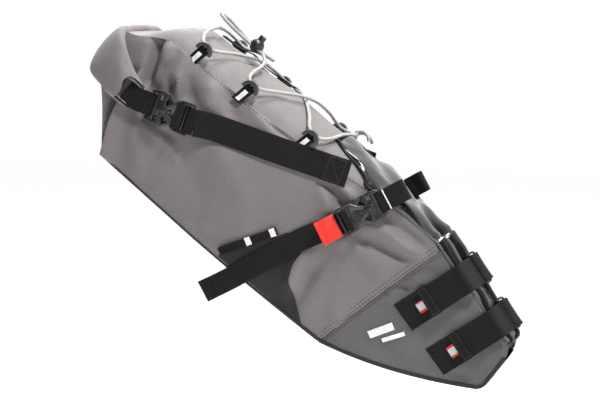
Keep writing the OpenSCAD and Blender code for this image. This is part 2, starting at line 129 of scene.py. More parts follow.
def crown(u):
    return 11 * ease((-80 - u) / 110) * mix(1, 0.2, ease((-325 - u) / 120))


def side_y(u, v):
    c = np.clip((v - base_v(u)) / (top_v(u) - base_v(u)), 0, 1)
    return mix(base_half(u), top_half(u), c) + 4 * c * (1 - c) * bulge(u)


def rear_edge(t):
    return -424 - 12 * t - 22 * np.sin(math.pi * t)


def seam_edge(t):
    return -104 + 39 * t


def raw_skin(u, w):
    """Right half of a cross-section: w 0 at the base, 1 at the top seam, 2 on the middle line."""
    c = np.clip(w, 0, 1)
    v = mix(base_v(u), top_v(u), c)
    s = 2 - w
    over = w > 1
    y = np.where(over, -s * top_half(u), -side_y(u, v))
    v = np.where(over, top_v(u) + crown(u) * (1 - s * s), v)
    return np.stack([u + 0 * w, y, v], -1)


def skin(u, w):
    """The same with the shoulder under the top seam rounded off."""
    u, w = np.broadcast_arrays(np.asarray(u, float), np.asarray(w, float))
    r = mix(30, 5, ease((u + 330) / 220))
    lo = 1 - r / (top_v(u) - base_v(u))
    hi = 1 + r / top_half(u)
    t = np.clip((w - lo) / (hi - lo), 0, 1)[..., None]
    below, corner, above = raw_skin(u, lo), raw_skin(u, np.ones_like(u)), raw_skin(u, hi)
    q = (1 - t) ** 2 * below + 2 * t * (1 - t) * corner + t * t * above
    return np.where(((w > lo) & (w < hi))[..., None], q, raw_skin(u, w))


# Folds pulled into the side: [u0, v0, u1, v1, half width, height]; a negative height is a valley
FOLDS = [
    [-462, -8, -436, -62, 7, -7.0], [-448, -10, -426, -52, 8, 3.5], [-436, -28, -424, -58, 5, -3.5],
    [-417, -36, -403, -58, 6, -2.6], [-404, -22, -388, -48, 7, -2.6], [-391, -28, -371, -50, 6, -2.2],
    [-410, -26, -396, -58, 6, 2.0], [-380, -10, -352, -44, 10, 2.0], [-356, -6, -318, -34, 9, -1.8],
    [-330, 0, -270, -14, 8, 1.6], [-300, -2, -222, 2, 7, -1.6],
    [-222, 6, -162, -10, 7, 3.2], [-214, -6, -158, -26, 7, -3.6], [-206, -18, -150, -46, 9, 2.6],
    [-150, 4, -82, 4, 6, -2.0], [-146, -14, -84, -6, 7, 3.0], [-140, -30, -92, -20, 7, -2.8],
    [-136, -46, -100, -44, 9, 2.0], [-182, -70, -168, -128, 9, 3.2], [-160, -88, -150, -140, 8, -2.4],
    [-120, -96, -100, -130, 10, 1.8], [-290, -128, -240, -104, 12, 2.0], [-330, -60, -260, -84, 16, 1.6],
    [-372, -92, -300, -112, 16, -1.6], [-420, -100, -380, -140, 12, 1.8], [-400, -84, -352, -100, 8, 2.2],
    [-420, -90, -376, -84, 5, -2.6], [-428, 2, -412, -36, 9, 3.0],
]
# Folds of the nose panel
NOSE_FOLDS = [
    [-90, -36, -56, -28, 5, 2.4], [-92, -48, -66, -44, 5, -2.2], [-90, -60, -66, -62, 6, 2.0],
    [-86, -14, -40, -12, 5, -1.6], [-20, -22, 40, -40, 8, 1.2], [0, -92, 52, -76, 7, -1.0],
    [-60, -90, 10, -78, 14, 1.2],
]


def folds(u, v, table):
    """How far the fabric stands out of its even form, in mm."""
    h = np.zeros_like(u)
    for u0, v0, u1, v1, width, height in table:
        du, dv = u1 - u0, v1 - v0
        n = math.hypot(du, dv)
        along = ((u - u0) * du + (v - v0) * dv) / n
        across = ((u - u0) * dv - (v - v0) * du) / n
        end = np.maximum(0, np.abs(along - n / 2) - n / 3) / (n / 4)
        h = h + height * np.exp(-(across / width) ** 2 - end ** 2)
    return h


def ripple(u, v):
    """Low, slow swell of the filled fabric."""
    return (0.9 * np.sin(u / 31 + v / 47) * np.sin(v / 23 - u / 71)
            + 0.45 * np.sin(u / 13 - v / 19) * np.sin(v / 17 + u / 29))


# Straps that hold the fabric flat under them: [u0, v0, u1, v1, half width]
HELD = [[-395, -62, -202, 12, 17], [-160, -10, -206, -118, 15], [-206, -118, -237, -195, 12],
        [-29, 0, -50, -71, 21], [30, -17, 9, -88, 21]]


def relief(u, v):
    """How far the fabric stands out of its even form, in mm."""
    free = np.ones_like(u)
    for u0, v0, u1, v1, width in HELD:
        du, dv = u1 - u0, v1 - v0
        n2 = du * du + dv * dv
        t = np.clip(((u - u0) * du + (v - v0) * dv) / n2, 0, 1)
        d = np.hypot(u - u0 - t * du, v - v0 - t * dv)
        free = free * ease((d - width * 0.55) / (width * 0.8))
    nose = ease((u - seam_edge(np.clip((v + 140) / 150, 0, 1))) / 6)
    return (mix(folds(u, v, FOLDS) * 2.0 + ripple(u, v), folds(u, v, NOSE_FOLDS) * 1.6 + 0.5 * ripple(u, v),
                nose)) * free


# ---------------------------------------------------------------- meshes

materials = {}


SHARP_DEG = 42  # edges that turn by more than this are shaded as edges


def make(name, part, mat, body="root", slot=None, stands_for=()):
    """A mesh piece; part is points in the local frame, faces, and a uv pair per point in metres or None."""
    verts, faces, uv = part
    mesh = bpy.data.meshes.new(name)
    mesh.from_pydata([tuple(p) for p in world(verts).reshape(-1, 3).tolist()], [], faces)
    if uv is not None:
        layer = mesh.uv_layers.new(name="cloth")
        flat = np.asarray(uv, float).reshape(-1, 2)
        index = np.empty(len(mesh.loops), int)
        mesh.loops.foreach_get("vertex_index", index)
        layer.data.foreach_set("uv", flat[index].ravel())
    mesh.update()
    obj = bpy.data.objects.new(name, mesh)
    bpy.context.scene.collection.objects.link(obj)
    mesh.materials.append(materials[mat])
    mesh.polygons.foreach_set("use_smooth", [True] * len(mesh.polygons))
    mesh.set_sharp_from_angle(angle=math.radians(SHARP_DEG))
    if isinstance(body, str):
        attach(obj, body)
    if stands_for:
        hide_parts(*stands_for)
    return obj


def normals(grid):
    """Unit normals of a grid of points."""
    n = np.cross(np.gradient(grid, axis=0), np.gradient(grid, axis=1))
    return n / np.maximum(np.linalg.norm(n, axis=-1, keepdims=True), 1e-9)


def shell(grid, thick, uv=None, flip=False):
    """Points, faces and uv of a closed sheet: grid is its outer face."""
    n, m = grid.shape[:2]
    nrm = normals(grid) * (-1 if flip else 1)
    inner = grid - nrm * thick
    pts = np.concatenate([grid.reshape(-1, 3), inner.reshape(-1, 3)])
    o = n * m
    faces = []
    for i in range(n - 1):
        for j in range(m - 1):
            a, b, c, d = i * m + j, (i + 1) * m + j, (i + 1) * m + j + 1, i * m + j + 1
            faces.append((a, d, c, b) if flip else (a, b, c, d))
            faces.append((o + a, o + b, o + c, o + d) if flip else (o + d, o + c, o + b, o + a))
    rim = [j for j in range(m)] + [i * m + m - 1 for i in range(1, n)]
    rim += [(n - 1) * m + j for j in range(m - 2, -1, -1)] + [i * m for i in range(n - 2, 0, -1)]
    for k, a in enumerate(rim):
        b = rim[(k + 1) % len(rim)]
        faces.append((a, o + a, o + b, b) if flip else (b, o + b, o + a, a))
    if uv is None:
        uv = np.zeros((n, m, 2))
    return pts, faces, np.concatenate([uv.reshape(-1, 2)] * 2)


def lengths(line):
    line = np.asarray(line, float)
    return np.concatenate([[0], np.cumsum(np.linalg.norm(np.diff(line, axis=0), axis=1))])


def smooth_line(points, steps=6, closed=False):
    """Catmull-Rom curve through the points."""
    p = np.asarray(points, float)
    n = len(p)
    out = []
    for i in range(n if closed else n - 1):
        a, b, c, d = (p[(i + k) % n] if closed else p[min(max(i + k, 0), n - 1)] for k in (-1, 0, 1, 2))
        for k in range(steps):
            t = k / steps
            out.append(0.5 * (2 * b + (c - a) * t + (2 * a - 5 * b + 4 * c - d) * t * t
                              + (3 * b - a - 3 * c + d) * t ** 3))
    if not closed:
        out.append(p[-1])
    return np.array(out)


def resample(line, step):
    line = np.asarray(line, float)
    s = lengths(line)
    t = np.linspace(0, s[-1], max(2, int(round(s[-1] / step)) + 1))
    return np.stack([np.interp(t, s, line[:, k]) for k in range(line.shape[1])], -1)


def unit(a):
    a = np.asarray(a, float)
    return a / np.maximum(np.linalg.norm(a, axis=-1, keepdims=True), 1e-9)


def sweep(centre, across, up, profile, closed=False):
    """Points, faces and uv of a profile [(across, up)] swept along a line, with end caps."""
    centre = np.asarray(centre, float)
    prof = np.asarray(profile, float)
    n, m = len(centre), len(prof)
    pts = centre[:, None] + across[:, None] * prof[None, :, :1] + up[:, None] * prof[None, :, 1:]
    faces = []
    for i in range(n if closed else n - 1):
        for k in range(m):
            a, b, l = i * m, (i + 1) % n * m, (k + 1) % m
            faces.append((a + k, a + l, b + l, b + k))
    if not closed:
        faces.append(tuple(range(m - 1, -1, -1)))
        faces.append(tuple((n - 1) * m + k for k in range(m)))
    s = lengths(centre)
    around = lengths(np.concatenate([prof, prof[:1]]))[:-1]
    uv = np.stack(np.broadcast_arrays(s[:, None], around[None]), -1) * MM
    return pts.reshape(-1, 3), faces, uv.reshape(-1, 2)


def web_profile(width, thick, ribs=9, rib=0.42):
    """Webbing seen end on: rounded edges, and low ribs that run along it."""
    half, h = width / 2, thick / 2
    top = []
    n = ribs * 4
    for k in range(n + 1):
        x = mix(-half + 0.5, half - 0.5, k / n)
        top.append((x, h - rib * 0.5 * (1 + math.cos(2 * math.pi * ribs * k / n))))
    right = [(half, h * 0.4), (half, -h * 0.4)]
    bottom = [(-x, -y) for x, y in top]
    left = [(-half, -h * 0.4), (-half, h * 0.4)]
    return (top + right + bottom + left)[::-1]


def side_normal(u, v):
    e = 2.0
    fu = (side_y(u + e, v) - side_y(u - e, v)) / (2 * e)
    fv = (side_y(u, v + e) - side_y(u, v - e)) / (2 * e)
    return unit(np.stack([-fu, -np.ones_like(fu), -fv], -1))


def lift_line(path, step=3.0, smooth=True, sewn=False):
    """Points [u, v, lift] laid on the right-hand side: their places and the way out of the side."""
    p = np.asarray(path, float)
    p = resample(smooth_line(p, 8) if smooth else p, step)
    u, v, lift = p.T
    pos = np.stack([u, -side_y(u, v) - lift - (relief(u, v) if sewn else 0), v], -1)
    return pos, side_normal(u, v)


def band(pos, out, width, thick, ribs=9, rib=0.42):
    """Webbing along a line on a surface whose way out is out."""
    tangent = unit(np.gradient(pos, axis=0))
    across = unit(np.cross(tangent, out))
    up = unit(np.cross(across, tangent))
    return sweep(pos, across, up, web_profile(width, thick, ribs, rib))


def mirrored(pts, faces, uv=None):
    pts = np.array(pts, float).copy()
    pts[..., 1] *= -1
    return pts, [tuple(reversed(f)) for f in faces], uv


def merge(*parts):
    pts, faces, uvs = [], [], []
    o = 0
    for p, f, w in parts:
        p = np.asarray(p, float).reshape(-1, 3)
        pts.append(p)
        faces += [tuple(k + o for k in face) for face in f]
        uvs.append(np.zeros((len(p), 2)) if w is None else np.asarray(w, float).reshape(-1, 2))
        o += len(p)
    return np.concatenate(pts), faces, np.concatenate(uvs)


def both_sides(name, part, mat, **words):
    """The right-hand piece and its mirror image; bodies and nodes are named with a suffix."""
    made = []
    for side in ("right", "left"):
        here = part if side == "right" else mirrored(*part)
        kw = dict(words)
        if kw.get("body", "root").endswith("_"):
            kw["body"] = kw["body"] + side
        kw["stands_for"] = [n + side if n.endswith("_") else n for n in words.get("stands_for", ())]
        made.append(make(f"{name}_{side}", here, mat, **kw))
    return made


def capsule(a, b, r, up):
    """A stitch: a short rounded bar from a to b."""
    a, b = np.asarray(a), np.asarray(b)
    t = unit(b - a)
    x = unit(np.cross(t, up))
    y = np.cross(x, t)
    n = 6
    rings = [(-0.9, 0.35), (-0.55, 0.9), (0.0, 1.05), (0.55, 0.9), (0.9, 0.35)]
    half = np.linalg.norm(b - a) / 2
    mid = (a + b) / 2
    pts = [mid + t * half * s
           + r * k * (math.cos(2 * math.pi * j / n) * x + math.sin(2 * math.pi * j / n) * y)
           for s, k in rings for j in range(n)]
    faces = [(i * n + j, i * n + (j + 1) % n, (i + 1) * n + (j + 1) % n, (i + 1) * n + j)
             for i in range(len(rings) - 1) for j in range(n)]
    faces += [tuple(range(n - 1, -1, -1)), tuple((len(rings) - 1) * n + j for j in range(n))]
    return np.array(pts), faces, None


def stitches(line, out, pitch=4.2, fill=0.68, r=0.42, lift=0.25):
    """A row of stitches along a line that lies on a surface whose way out is out."""
    both = resample(np.concatenate([line, out], -1), pitch)
    parts = []
    for i in range(len(both) - 1):
        a, b = both[i, :3], both[i + 1, :3]
        n = unit(both[i, 3:])
        parts.append(capsule(mix(a, b, (1 - fill) / 2) + n * lift, mix(a, b, (1 + fill) / 2) + n * lift, r,
                             n))
    return merge(*parts)


def round_cord(line, r, sides=10):
    """A tube along a line, with no twist."""
    line = np.asarray(line, float)
    t = unit(np.gradient(line, axis=0))
    x = unit(np.cross([0, 0, 1], t))
    y = np.cross(t, x)
    ang = np.arange(sides) * 2 * math.pi / sides
    return sweep(line, x, y, np.stack([np.cos(ang), np.sin(ang)], -1) * r)


def prism(outline, z0, z1, bevel=0.5, segments=2):
    """A flat plate of the outline [(x, y)] between two heights with rounded edges, as points and faces."""
    bm = bmesh.new()
    low = [bm.verts.new((x, y, z0)) for x, y in outline]
    high = [bm.verts.new((x, y, z1)) for x, y in outline]
    n = len(outline)
    bm.faces.new(list(reversed(low)))
    bm.faces.new(high)
    for k in range(n):
        bm.faces.new((low[k], low[(k + 1) % n], high[(k + 1) % n], high[k]))
    bmesh.ops.recalc_face_normals(bm, faces=bm.faces)
    if bevel:
        bmesh.ops.bevel(bm, geom=list(bm.edges), offset=bevel, segments=segments, profile=0.5,
                        affect="EDGES", clamp_overlap=True)
    bm.verts.ensure_lookup_table()
    pts = np.array([v.co[:] for v in bm.verts])
    faces = [tuple(v.index for v in f.verts) for f in bm.faces]
    bm.free()
    return pts, faces, pts[:, :2] * MM


def box(x0, x1, y0, y1, z0, z1, bevel=0.4):
    return prism([(x0, y0), (x1, y0), (x1, y1), (x0, y1)], z0, z1, bevel)


def arc(cx, cy, r, a0, a1, n=12):
    return [(cx + r * math.cos(math.radians(mix(a0, a1, k / n))),
             cy + r * math.sin(math.radians(mix(a0, a1, k / n))))
            for k in range(n + 1)]


def place_frame(place, flat=False):
    """Frame of a place [u, v, direction, lift] on the right-hand side: x along a strap, z outwards."""
    u, v, a, lift = place
    a = math.radians(a)
    fu = 0 if flat else float(side_y(u + 1, v) - side_y(u - 1, v)) / 2
    fv = 0 if flat else float(side_y(u, v + 1) - side_y(u, v - 1)) / 2
    x = unit([math.cos(a), -fu * math.cos(a) - fv * math.sin(a), math.sin(a)])
    z = unit([-fu, -1, -fv])
    return x, np.cross(z, x), z, np.array([u, -float(side_y(u, v)) - lift, v])


def placed(part, f):
    pts, faces, uv = part
    x, y, z, o = f
    pts = np.asarray(pts)
    return pts[:, :1] * x + pts[:, 1:2] * y + pts[:, 2:] * z + o, faces, uv


def off_side(f, x, z):
    """A point of such a frame as [u, v, lift]."""
    p = f[3] + x * f[0] + z * f[2]
    return [p[0], p[2], -p[1] - float(side_y(p[0], p[2]))]


def strip(line, f, width, thick=1.5, ribs=9):
    """Webbing folded in the x-z plane of a buckle's frame."""
    pts = resample(np.array([[x, 0, z] for x, z in line], float), 0.8)
    # round the corners of the folds
    for _ in range(2):
        pts[1:-1] = 0.25 * pts[:-2] + 0.5 * pts[1:-1] + 0.25 * pts[2:]
    t = unit(np.gradient(pts, axis=0))
    across = np.tile([0, 1, 0], (len(pts), 1)).astype(float)
    up = np.cross(t, across)
    return placed(sweep(pts, across, up, web_profile(width, thick, ribs)), f)


# ---------------------------------------------------------------- materials


def srgb(*rgb):
    out = []
    for c in rgb:
        c /= 255
        out.append(c / 12.92 if c <= 0.04045 else ((c + 0.055) / 1.055) ** 2.4)
    return (*out, 1.0)


class Graph:
    """A Principled material and short names for the nodes that feed it."""

    def __init__(self, name, roughness=0.6, **sockets):
        self.mat = bpy.data.materials.new(name)
        self.mat.use_nodes = True
        self.tree = self.mat.node_tree
        self.shader = self.tree.nodes["Principled BSDF"]
        self.shader.inputs["Roughness"].default_value = roughness
        for k, v in sockets.items():
            self.shader.inputs[k.replace("_", " ")].default_value = v
        materials[name] = self.mat

    def node(self, kind, out=0, props=(), **inputs):
        n = self.tree.nodes.new(kind)
        for k, v in dict(props).items():
            setattr(n, k, v)
        for k, v in inputs.items():
            self.put(n.inputs[int(k[1:]) if k[0] == "i" and k[1:].isdigit() else k], v)
        return n.outputs[out]

    def put(self, socket, v):
        if isinstance(v, bpy.types.NodeSocket):
            self.tree.links.new(v, socket)
        else:
            socket.default_value = v

    def math(self, op, a, b=0.0, c=0.0):
        return self.node("ShaderNodeMath", props={"operation": op}, i0=a, i1=b, i2=c)

    def step(self, x, lo, hi, a=0.0, b=1.0):
        return self.node("ShaderNodeMapRange", props={"interpolation_type": "SMOOTHSTEP"},
                         Value=x, i1=lo, i2=hi, i3=a, i4=b)

    def uv(self):
        """u and v of the cloth, in metres."""
        n = self.tree.nodes.new("ShaderNodeSeparateXYZ")
        self.tree.links.new(self.node("ShaderNodeUVMap", props={"uv_map": "cloth"}), n.inputs[0])
        return n.outputs[0], n.outputs[1]

    def noise(self, scale, detail=3.0, rough=0.55):
        place = self.node("ShaderNodeTexCoord", out="Object")
        return self.node("ShaderNodeTexNoise", Vector=place, Scale=scale, Detail=detail, Roughness=rough)

    def wave(self, x, pitch):
        """cos of a length in metres, with a pitch in mm."""
        return self.math("COSINE", self.math("MULTIPLY_ADD", x, 2 * math.pi / (pitch * MM), 0.0))

    def mix(self, fac, a, b):
        n = self.tree.nodes.new("ShaderNodeMix")
        n.data_type = "RGBA"
        self.put(n.inputs["Factor"], fac)
        self.put(n.inputs[6], a)
        self.put(n.inputs[7], b)
        return n.outputs[2]

    def colour(self, v):
        self.put(self.shader.inputs["Base Color"], v)

    def rough(self, v):
        self.put(self.shader.inputs["Roughness"], v)

    def bump(self, height, distance, strength=1.0, under=None):
        kw = {"Height": height, "Distance": distance * MM, "Strength": strength}
        if under is not None:
            kw["Normal"] = under
        return self.node("ShaderNodeBump", **kw)

    def finish(self, normal):
        self.put(self.shader.inputs["Normal"], normal)


def dobby(name, dark, light, pitch, rows, stretch=0.0, roughness=0.62, depth=0.12):
    """Coated ripstop with small raised dots in staggered rows."""
    g = Graph(name, roughness, Specular_IOR_Level=0.42, Sheen_Weight=0.12, Sheen_Roughness=0.5)
    x, y = g.uv()
    dots = g.step(g.math("MULTIPLY", g.wave(x, pitch), g.wave(y, rows)), 0.3 - stretch, 0.85)
    threads = g.math("MULTIPLY", g.wave(x, pitch / 5), g.wave(y, pitch / 5))
    cloud = g.noise(9, 3, 0.6)
    tone = g.math("MULTIPLY_ADD", dots, -0.8, g.math("MULTIPLY_ADD", cloud, 0.5, 0.55))
    g.colour(g.mix(tone, srgb(*dark), srgb(*light)))
    g.rough(g.step(g.noise(60, 2), 0.3, 0.7, roughness - 0.06, roughness + 0.08))
    low = g.bump(threads, 0.05, 0.5)
    wrinkle = g.bump(g.noise(38, 4, 0.6), 1.1, 0.35, low)
    g.finish(g.bump(g.math("MULTIPLY", dots, -1.0), depth, 0.9, wrinkle))


dobby("cloth", (78, 74, 76), (118, 111, 112), 2.7, 4.8)
dobby("cloth_nose", (62, 60, 62), (88, 85, 86), 3.4, 2.6, 0.1)
dobby("cloth_top", (86, 83, 84), (116, 111, 110), 2.5, 3.4)

g = Graph("base_cloth", 0.7, Specular_IOR_Level=0.3)
x, y = g.uv()
threads = g.math("MULTIPLY", g.wave(x, 0.9), g.wave(y, 0.9))
g.colour(g.mix(g.noise(40, 4), srgb(26, 26, 27), srgb(44, 43, 45)))
g.finish(g.bump(threads, 0.08, 0.6, g.bump(g.noise(30, 3), 1.2, 0.35)))

g = Graph("patch_cloth", 0.74, Specular_IOR_Level=0.3)
x, y = g.uv()
g.colour(g.mix(g.noise(70, 4), srgb(24, 24, 25), srgb(38, 37, 38)))
g.finish(g.bump(g.math("MULTIPLY", g.wave(x, 0.7), g.wave(y, 0.7)), 0.06, 0.5,
                g.bump(g.noise(45, 3), 0.9, 0.4)))

g = Graph("tpu", 0.14, Specular_IOR_Level=0.6, Coat_Weight=0.6, Coat_Roughness=0.04)
g.colour(g.mix(g.noise(14, 3), srgb(7, 7, 8), srgb(20, 20, 22)))
g.rough(g.step(g.noise(120, 3), 0.3, 0.75, 0.12, 0.24))
g.finish(g.bump(g.noise(34, 3, 0.5), 3.2, 0.5, g.bump(g.noise(500, 2), 0.06, 0.3)))

for name, dark, light, pitch in (("webbing", (8, 8, 9), (25, 24, 25), 1.1),
                                 ("elastic", (8, 8, 9), (25, 24, 25), 1.5)):
    g = Graph(name, 0.78, Specular_IOR_Level=0.18, Sheen_Weight=0.05, Sheen_Roughness=0.4)
    x, y = g.uv()
    weave = g.math("MULTIPLY", g.wave(x, pitch), g.wave(y, 1.6))
    tone = g.math("ADD", g.step(weave, -1, 1, 0, 0.6), g.math("MULTIPLY", g.noise(160, 3), 0.6))
    g.colour(g.mix(tone, srgb(*dark), srgb(*light)))
    g.finish(g.bump(weave, 0.16, 0.8, g.bump(g.noise(700, 2), 0.1, 0.4)))

for name, dark, light, rough in (("plastic", (15, 15, 16), (28, 28, 30), 0.34),
                                 ("plastic_grey", (38, 38, 40), (58, 58, 60), 0.34)):
    g = Graph(name, rough, Specular_IOR_Level=0.55)
    g.colour(g.mix(g.noise(90, 3), srgb(*dark), srgb(*light)))
    g.rough(g.step(g.noise(260, 4), 0.3, 0.8, rough - 0.06, rough + 0.16))
    g.finish(g.bump(g.noise(1500, 2), 0.05, 0.5))

for name, dark, light in (("red_web", (186, 30, 20), (224, 52, 36)),
                          ("white_web", (186, 188, 190), (222, 223, 225)),
                          ("reflective", (196, 198, 202), (232, 233, 235))):
    g = Graph(name, 0.55, Specular_IOR_Level=0.4)
    x, y = g.uv()
    weave = g.math("MULTIPLY", g.wave(x, 0.9), g.wave(y, 0.9))
    g.colour(g.mix(g.math("ADD", g.step(weave, -1, 1, 0, 0.4), g.math("MULTIPLY", g.noise(120, 3), 0.6)),
                   srgb(*dark), srgb(*light)))
    g.finish(g.bump(weave, 0.08, 0.6))

g = Graph("fuzz", 0.95, Specular_IOR_Level=0.08, Sheen_Weight=0.04, Sheen_Roughness=0.7)
hair = g.noise(1300, 4, 0.7)
g.colour(g.mix(g.step(hair, 0.35, 0.75), srgb(8, 8, 9), srgb(40, 40, 41)))
g.finish(g.bump(hair, 0.5, 0.8))

g = Graph("cord_cover", 0.6, Specular_IOR_Level=0.35, Sheen_Weight=0.2)
x, y = g.uv()
left = g.wave(g.math("MULTIPLY_ADD", y, 0.55, x), 1.9)
right = g.wave(g.math("MULTIPLY_ADD", y, -0.55, x), 1.9)
braid = g.math("MULTIPLY", left, right)
fleck = g.step(g.math("MULTIPLY", g.wave(g.math("MULTIPLY_ADD", y, 0.8, x), 5.2), right), 0.42, 0.6)
pale = g.mix(g.step(braid, -1, 1), srgb(140, 138, 136), srgb(206, 204, 200))
g.colour(g.mix(fleck, pale, srgb(52, 51, 52)))
g.finish(g.bump(braid, 0.25, 0.8))

g = Graph("thread", 0.7, Specular_IOR_Level=0.3)
g.colour(g.mix(g.noise(900, 3), srgb(40, 39, 41), srgb(72, 70, 72)))
g.finish(g.bump(g.noise(1800, 2), 0.08, 0.6))

g = Graph("board", 0.5)
g.colour(g.mix(g.noise(60, 3), srgb(34, 34, 36), srgb(50, 50, 52)))
g.finish(g.bump(g.noise(400, 3), 0.1, 0.5))

g = Graph("steel", 0.3, Metallic=1.0)
g.colour(g.mix(g.noise(400, 3), srgb(150, 152, 156), srgb(190, 192, 196)))
g.finish(g.bump(g.noise(900, 2), 0.03, 0.4))

# ---------------------------------------------------------------- fabric panels

MOUTH = (-495.0, 67.0, -60.0, 28.0)  # u, half width, v, half height: inside the roll


def mouth(w):
    """The mouth line that the roll takes in; w as in skin(), below 0 along the base."""
    c = np.clip(w, 0, 1)
    s = np.where(w > 1, 2 - w, 1.0)
    y = -MOUTH[1] * s * (0.94 + 0.06 * np.sin(math.pi * c))
    return np.stack([MOUTH[0] + 0 * w, y, MOUTH[2] + MOUTH[3] * (2 * c - 1)], -1)


def neck(w, c):
    """The fabric between the filled body (c 0) and the roll (c 1)."""
    w, c = np.broadcast_arrays(np.asarray(w, float), np.asarray(c, float))
    u0 = rear_edge(np.clip(w, 0, 1))
    p0 = skin(u0, w)
    slope = skin(u0 + 1, w) - p0
    p1 = mouth(w)
    chord = p1 - p0
    far = np.linalg.norm(chord, axis=-1, keepdims=True)
    k = ease(w / 0.55)[..., None]
    t0 = mix(chord, -slope * far * 1.15, k)
    t1 = mix(chord, np.array([-1.0, 0, 0]) * far * 0.7, 0.4 + 0.5 * k)
    c = c[..., None]
    return ((2 * c ** 3 - 3 * c ** 2 + 1) * p0 + (c ** 3 - 2 * c ** 2 + c) * t0
            + (3 * c ** 2 - 2 * c ** 3) * p1 + (c ** 3 - c ** 2) * t1)


def flat_uv(p):
    """Cloth coordinates of points on a side, level with the ground, in metres."""
    q = world(p)
    return np.stack([q[..., 0], q[..., 2]], -1)


SIDE_W = np.concatenate([np.linspace(0, 0.85, 44), np.linspace(0.85, 1, 13)[1:]])
NECK_C = np.array([1, 0.9, 0.8, 0.7, 0.6, 0.5, 0.41, 0.33, 0.26, 0.2, 0.15, 0.11, 0.08, 0.055, 0.035,
                   0.018])
BODY_A = np.concatenate([np.array([0, 0.004, 0.008, 0.014, 0.021, 0.03]), np.linspace(0.04, 1, 118)])
w = SIDE_W[None, :]
rear = neck(w, NECK_C[:, None])
u = mix(rear_edge(SIDE_W)[None], seam_edge(SIDE_W)[None] - 0.4, BODY_A[:, None])
body = skin(u, np.broadcast_to(w, u.shape))
grid = np.concatenate([rear, body])
uv = flat_uv(grid)
u, v = grid[..., 0], grid[..., 2]
row = np.concatenate([-NECK_C * 75, BODY_A * 330])[:, None]
low = 1 - ease((w - 0.46) / 0.2)
# the corner of the body is drawn over the neck as a soft folded lip
lip = low * np.where(row >= 0, 6.5 * np.exp(-(row / 13) ** 2),
                     -13.0 * np.exp(-((row + 9) / 6) ** 2) + 6.5 * np.exp(-(row / 1.8) ** 2))
near_seam = seam_edge(w) - u
edge = ease(w / 0.06) * ease((1.02 - w) / 0.06)
h = relief(u, v) * edge * ease((row + 60) / 40)
sewn_line = 0.8 * np.exp(-(near_seam / 1.8) ** 2)
puckers = 0.5 * np.sin(v / 4.1) * np.exp(-(near_seam / 11) ** 2)
h = h + lip * ease(w / 0.02) - sewn_line + puckers
grid = grid + normals(grid) * h[..., None] * np.sign(normals(grid)[60, 20, 1]) * -1
side_grid = grid
right_part = shell(grid, 1.2, uv, flip=normals(grid)[60, 20, 1] > 0)
for side in ("right", "left"):
    part = right_part if side == "right" else mirrored(*right_part)
    o = make(f"side_cloth_{side}", part, "cloth", body=None,
             stands_for=[f"side_panel_{side}"] + (["collar"] if side == "right" else []))
    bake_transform(o)

# Nose panels, in front of the raked seam
NOSE_A = np.concatenate([np.linspace(0, 0.06, 7), np.linspace(0.06, 1, 60)[1:]])
NOSE_W = np.linspace(0, 1, 50)
w = NOSE_W[None, :]
u = mix(seam_edge(NOSE_W)[None] + 0.2, 64.0, NOSE_A[:, None])
grid = skin(u, np.broadcast_to(w, u.shape))
uv = flat_uv(grid)
v = grid[..., 2]
near_seam = u - seam_edge(w)
h = relief(u, v) * ease(w / 0.08) * ease((1.02 - w) / 0.06) * ease((66 - u) / 14)
h = h - 0.8 * np.exp(-(near_seam / 1.6) ** 2) + 0.4 * np.sin(v / 3.7) * np.exp(-(near_seam / 9) ** 2)
nrm = normals(grid)
sign = -1 if nrm[20, 20, 1] > 0 else 1
grid = grid + nrm * h[..., None] * sign
nose_grid = grid
both_sides("nose_cloth", shell(grid, 1.2, uv, flip=sign < 0), "cloth_nose", stands_for=["nose_panel_"])

# Top of the rear, with its part of the neck
TOP_S = np.concatenate([np.linspace(-1, -0.6, 12), np.linspace(-0.6, 0.6, 21)[1:-1],
                        np.linspace(0.6, 1, 12)])
TOP_U = np.linspace(0, 1, 70)
c = NECK_C[:, None]
w_top = 2 - np.abs(TOP_S)[None, :]
rear = neck(np.broadcast_to(w_top, (len(NECK_C), len(TOP_S))),
            np.broadcast_to(c, (len(NECK_C), len(TOP_S))))
front = -233 + 62 * ease((np.abs(TOP_S) - 0.45) / 0.55)
u = mix(-436.0, front[None], TOP_U[:, None])
grid = np.concatenate([rear, skin(u, np.broadcast_to(w_top, u.shape))])
grid[..., 1] *= np.where(TOP_S > 0, -1, 1)[None]
u, y = grid[..., 0], grid[..., 1]
uv = np.stack([u, y * 1.0], -1) * MM
h = (1.3 * np.sin(u / 17 + y / 23) * np.sin(y / 19 - u / 41)
     + 1.6 * np.exp(-((u + 300 + 0.6 * y) / 12) ** 2)
     - 1.8 * np.exp(-((u + 374 - 0.5 * y) / 9) ** 2))
h = h * ease((1 - np.abs(TOP_S)) / 0.12)[None] * ease((u + 470) / 40)
nrm = normals(grid)
sign = 1 if nrm[40, 20, 2] > 0 else -1
grid = grid + nrm * h[..., None] * sign
part = shell(grid, 1.2, uv, flip=sign < 0)
o = make("top_cloth_rear", part, "cloth_top", body=None, stands_for=["top_panel_rear"])
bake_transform(o)

# Glossy front of the top: from its curved rear edge down to the nose, hollowed for the seatpost


def ridge_profile(s, half):
    """Height over the post's axis across the channel: groove, two padded ridges, edges tucked in."""
    y = np.abs(s) * half
    k = np.clip((y - 15) / np.maximum(half - 15, 1), 0, 1)
    groove = -np.sqrt(np.maximum(16.3 ** 2 - np.minimum(y, 15) ** 2, 1))
    wall = np.interp(k, [0, 0.1, 0.22, 0.38, 0.52, 0.7, 0.86, 1],
                     [-6.4, -2.4, 1.6, 4.2, 4.6, 3.0, -1.4, -8.0])
    return np.where(y < 15, groove, wall)


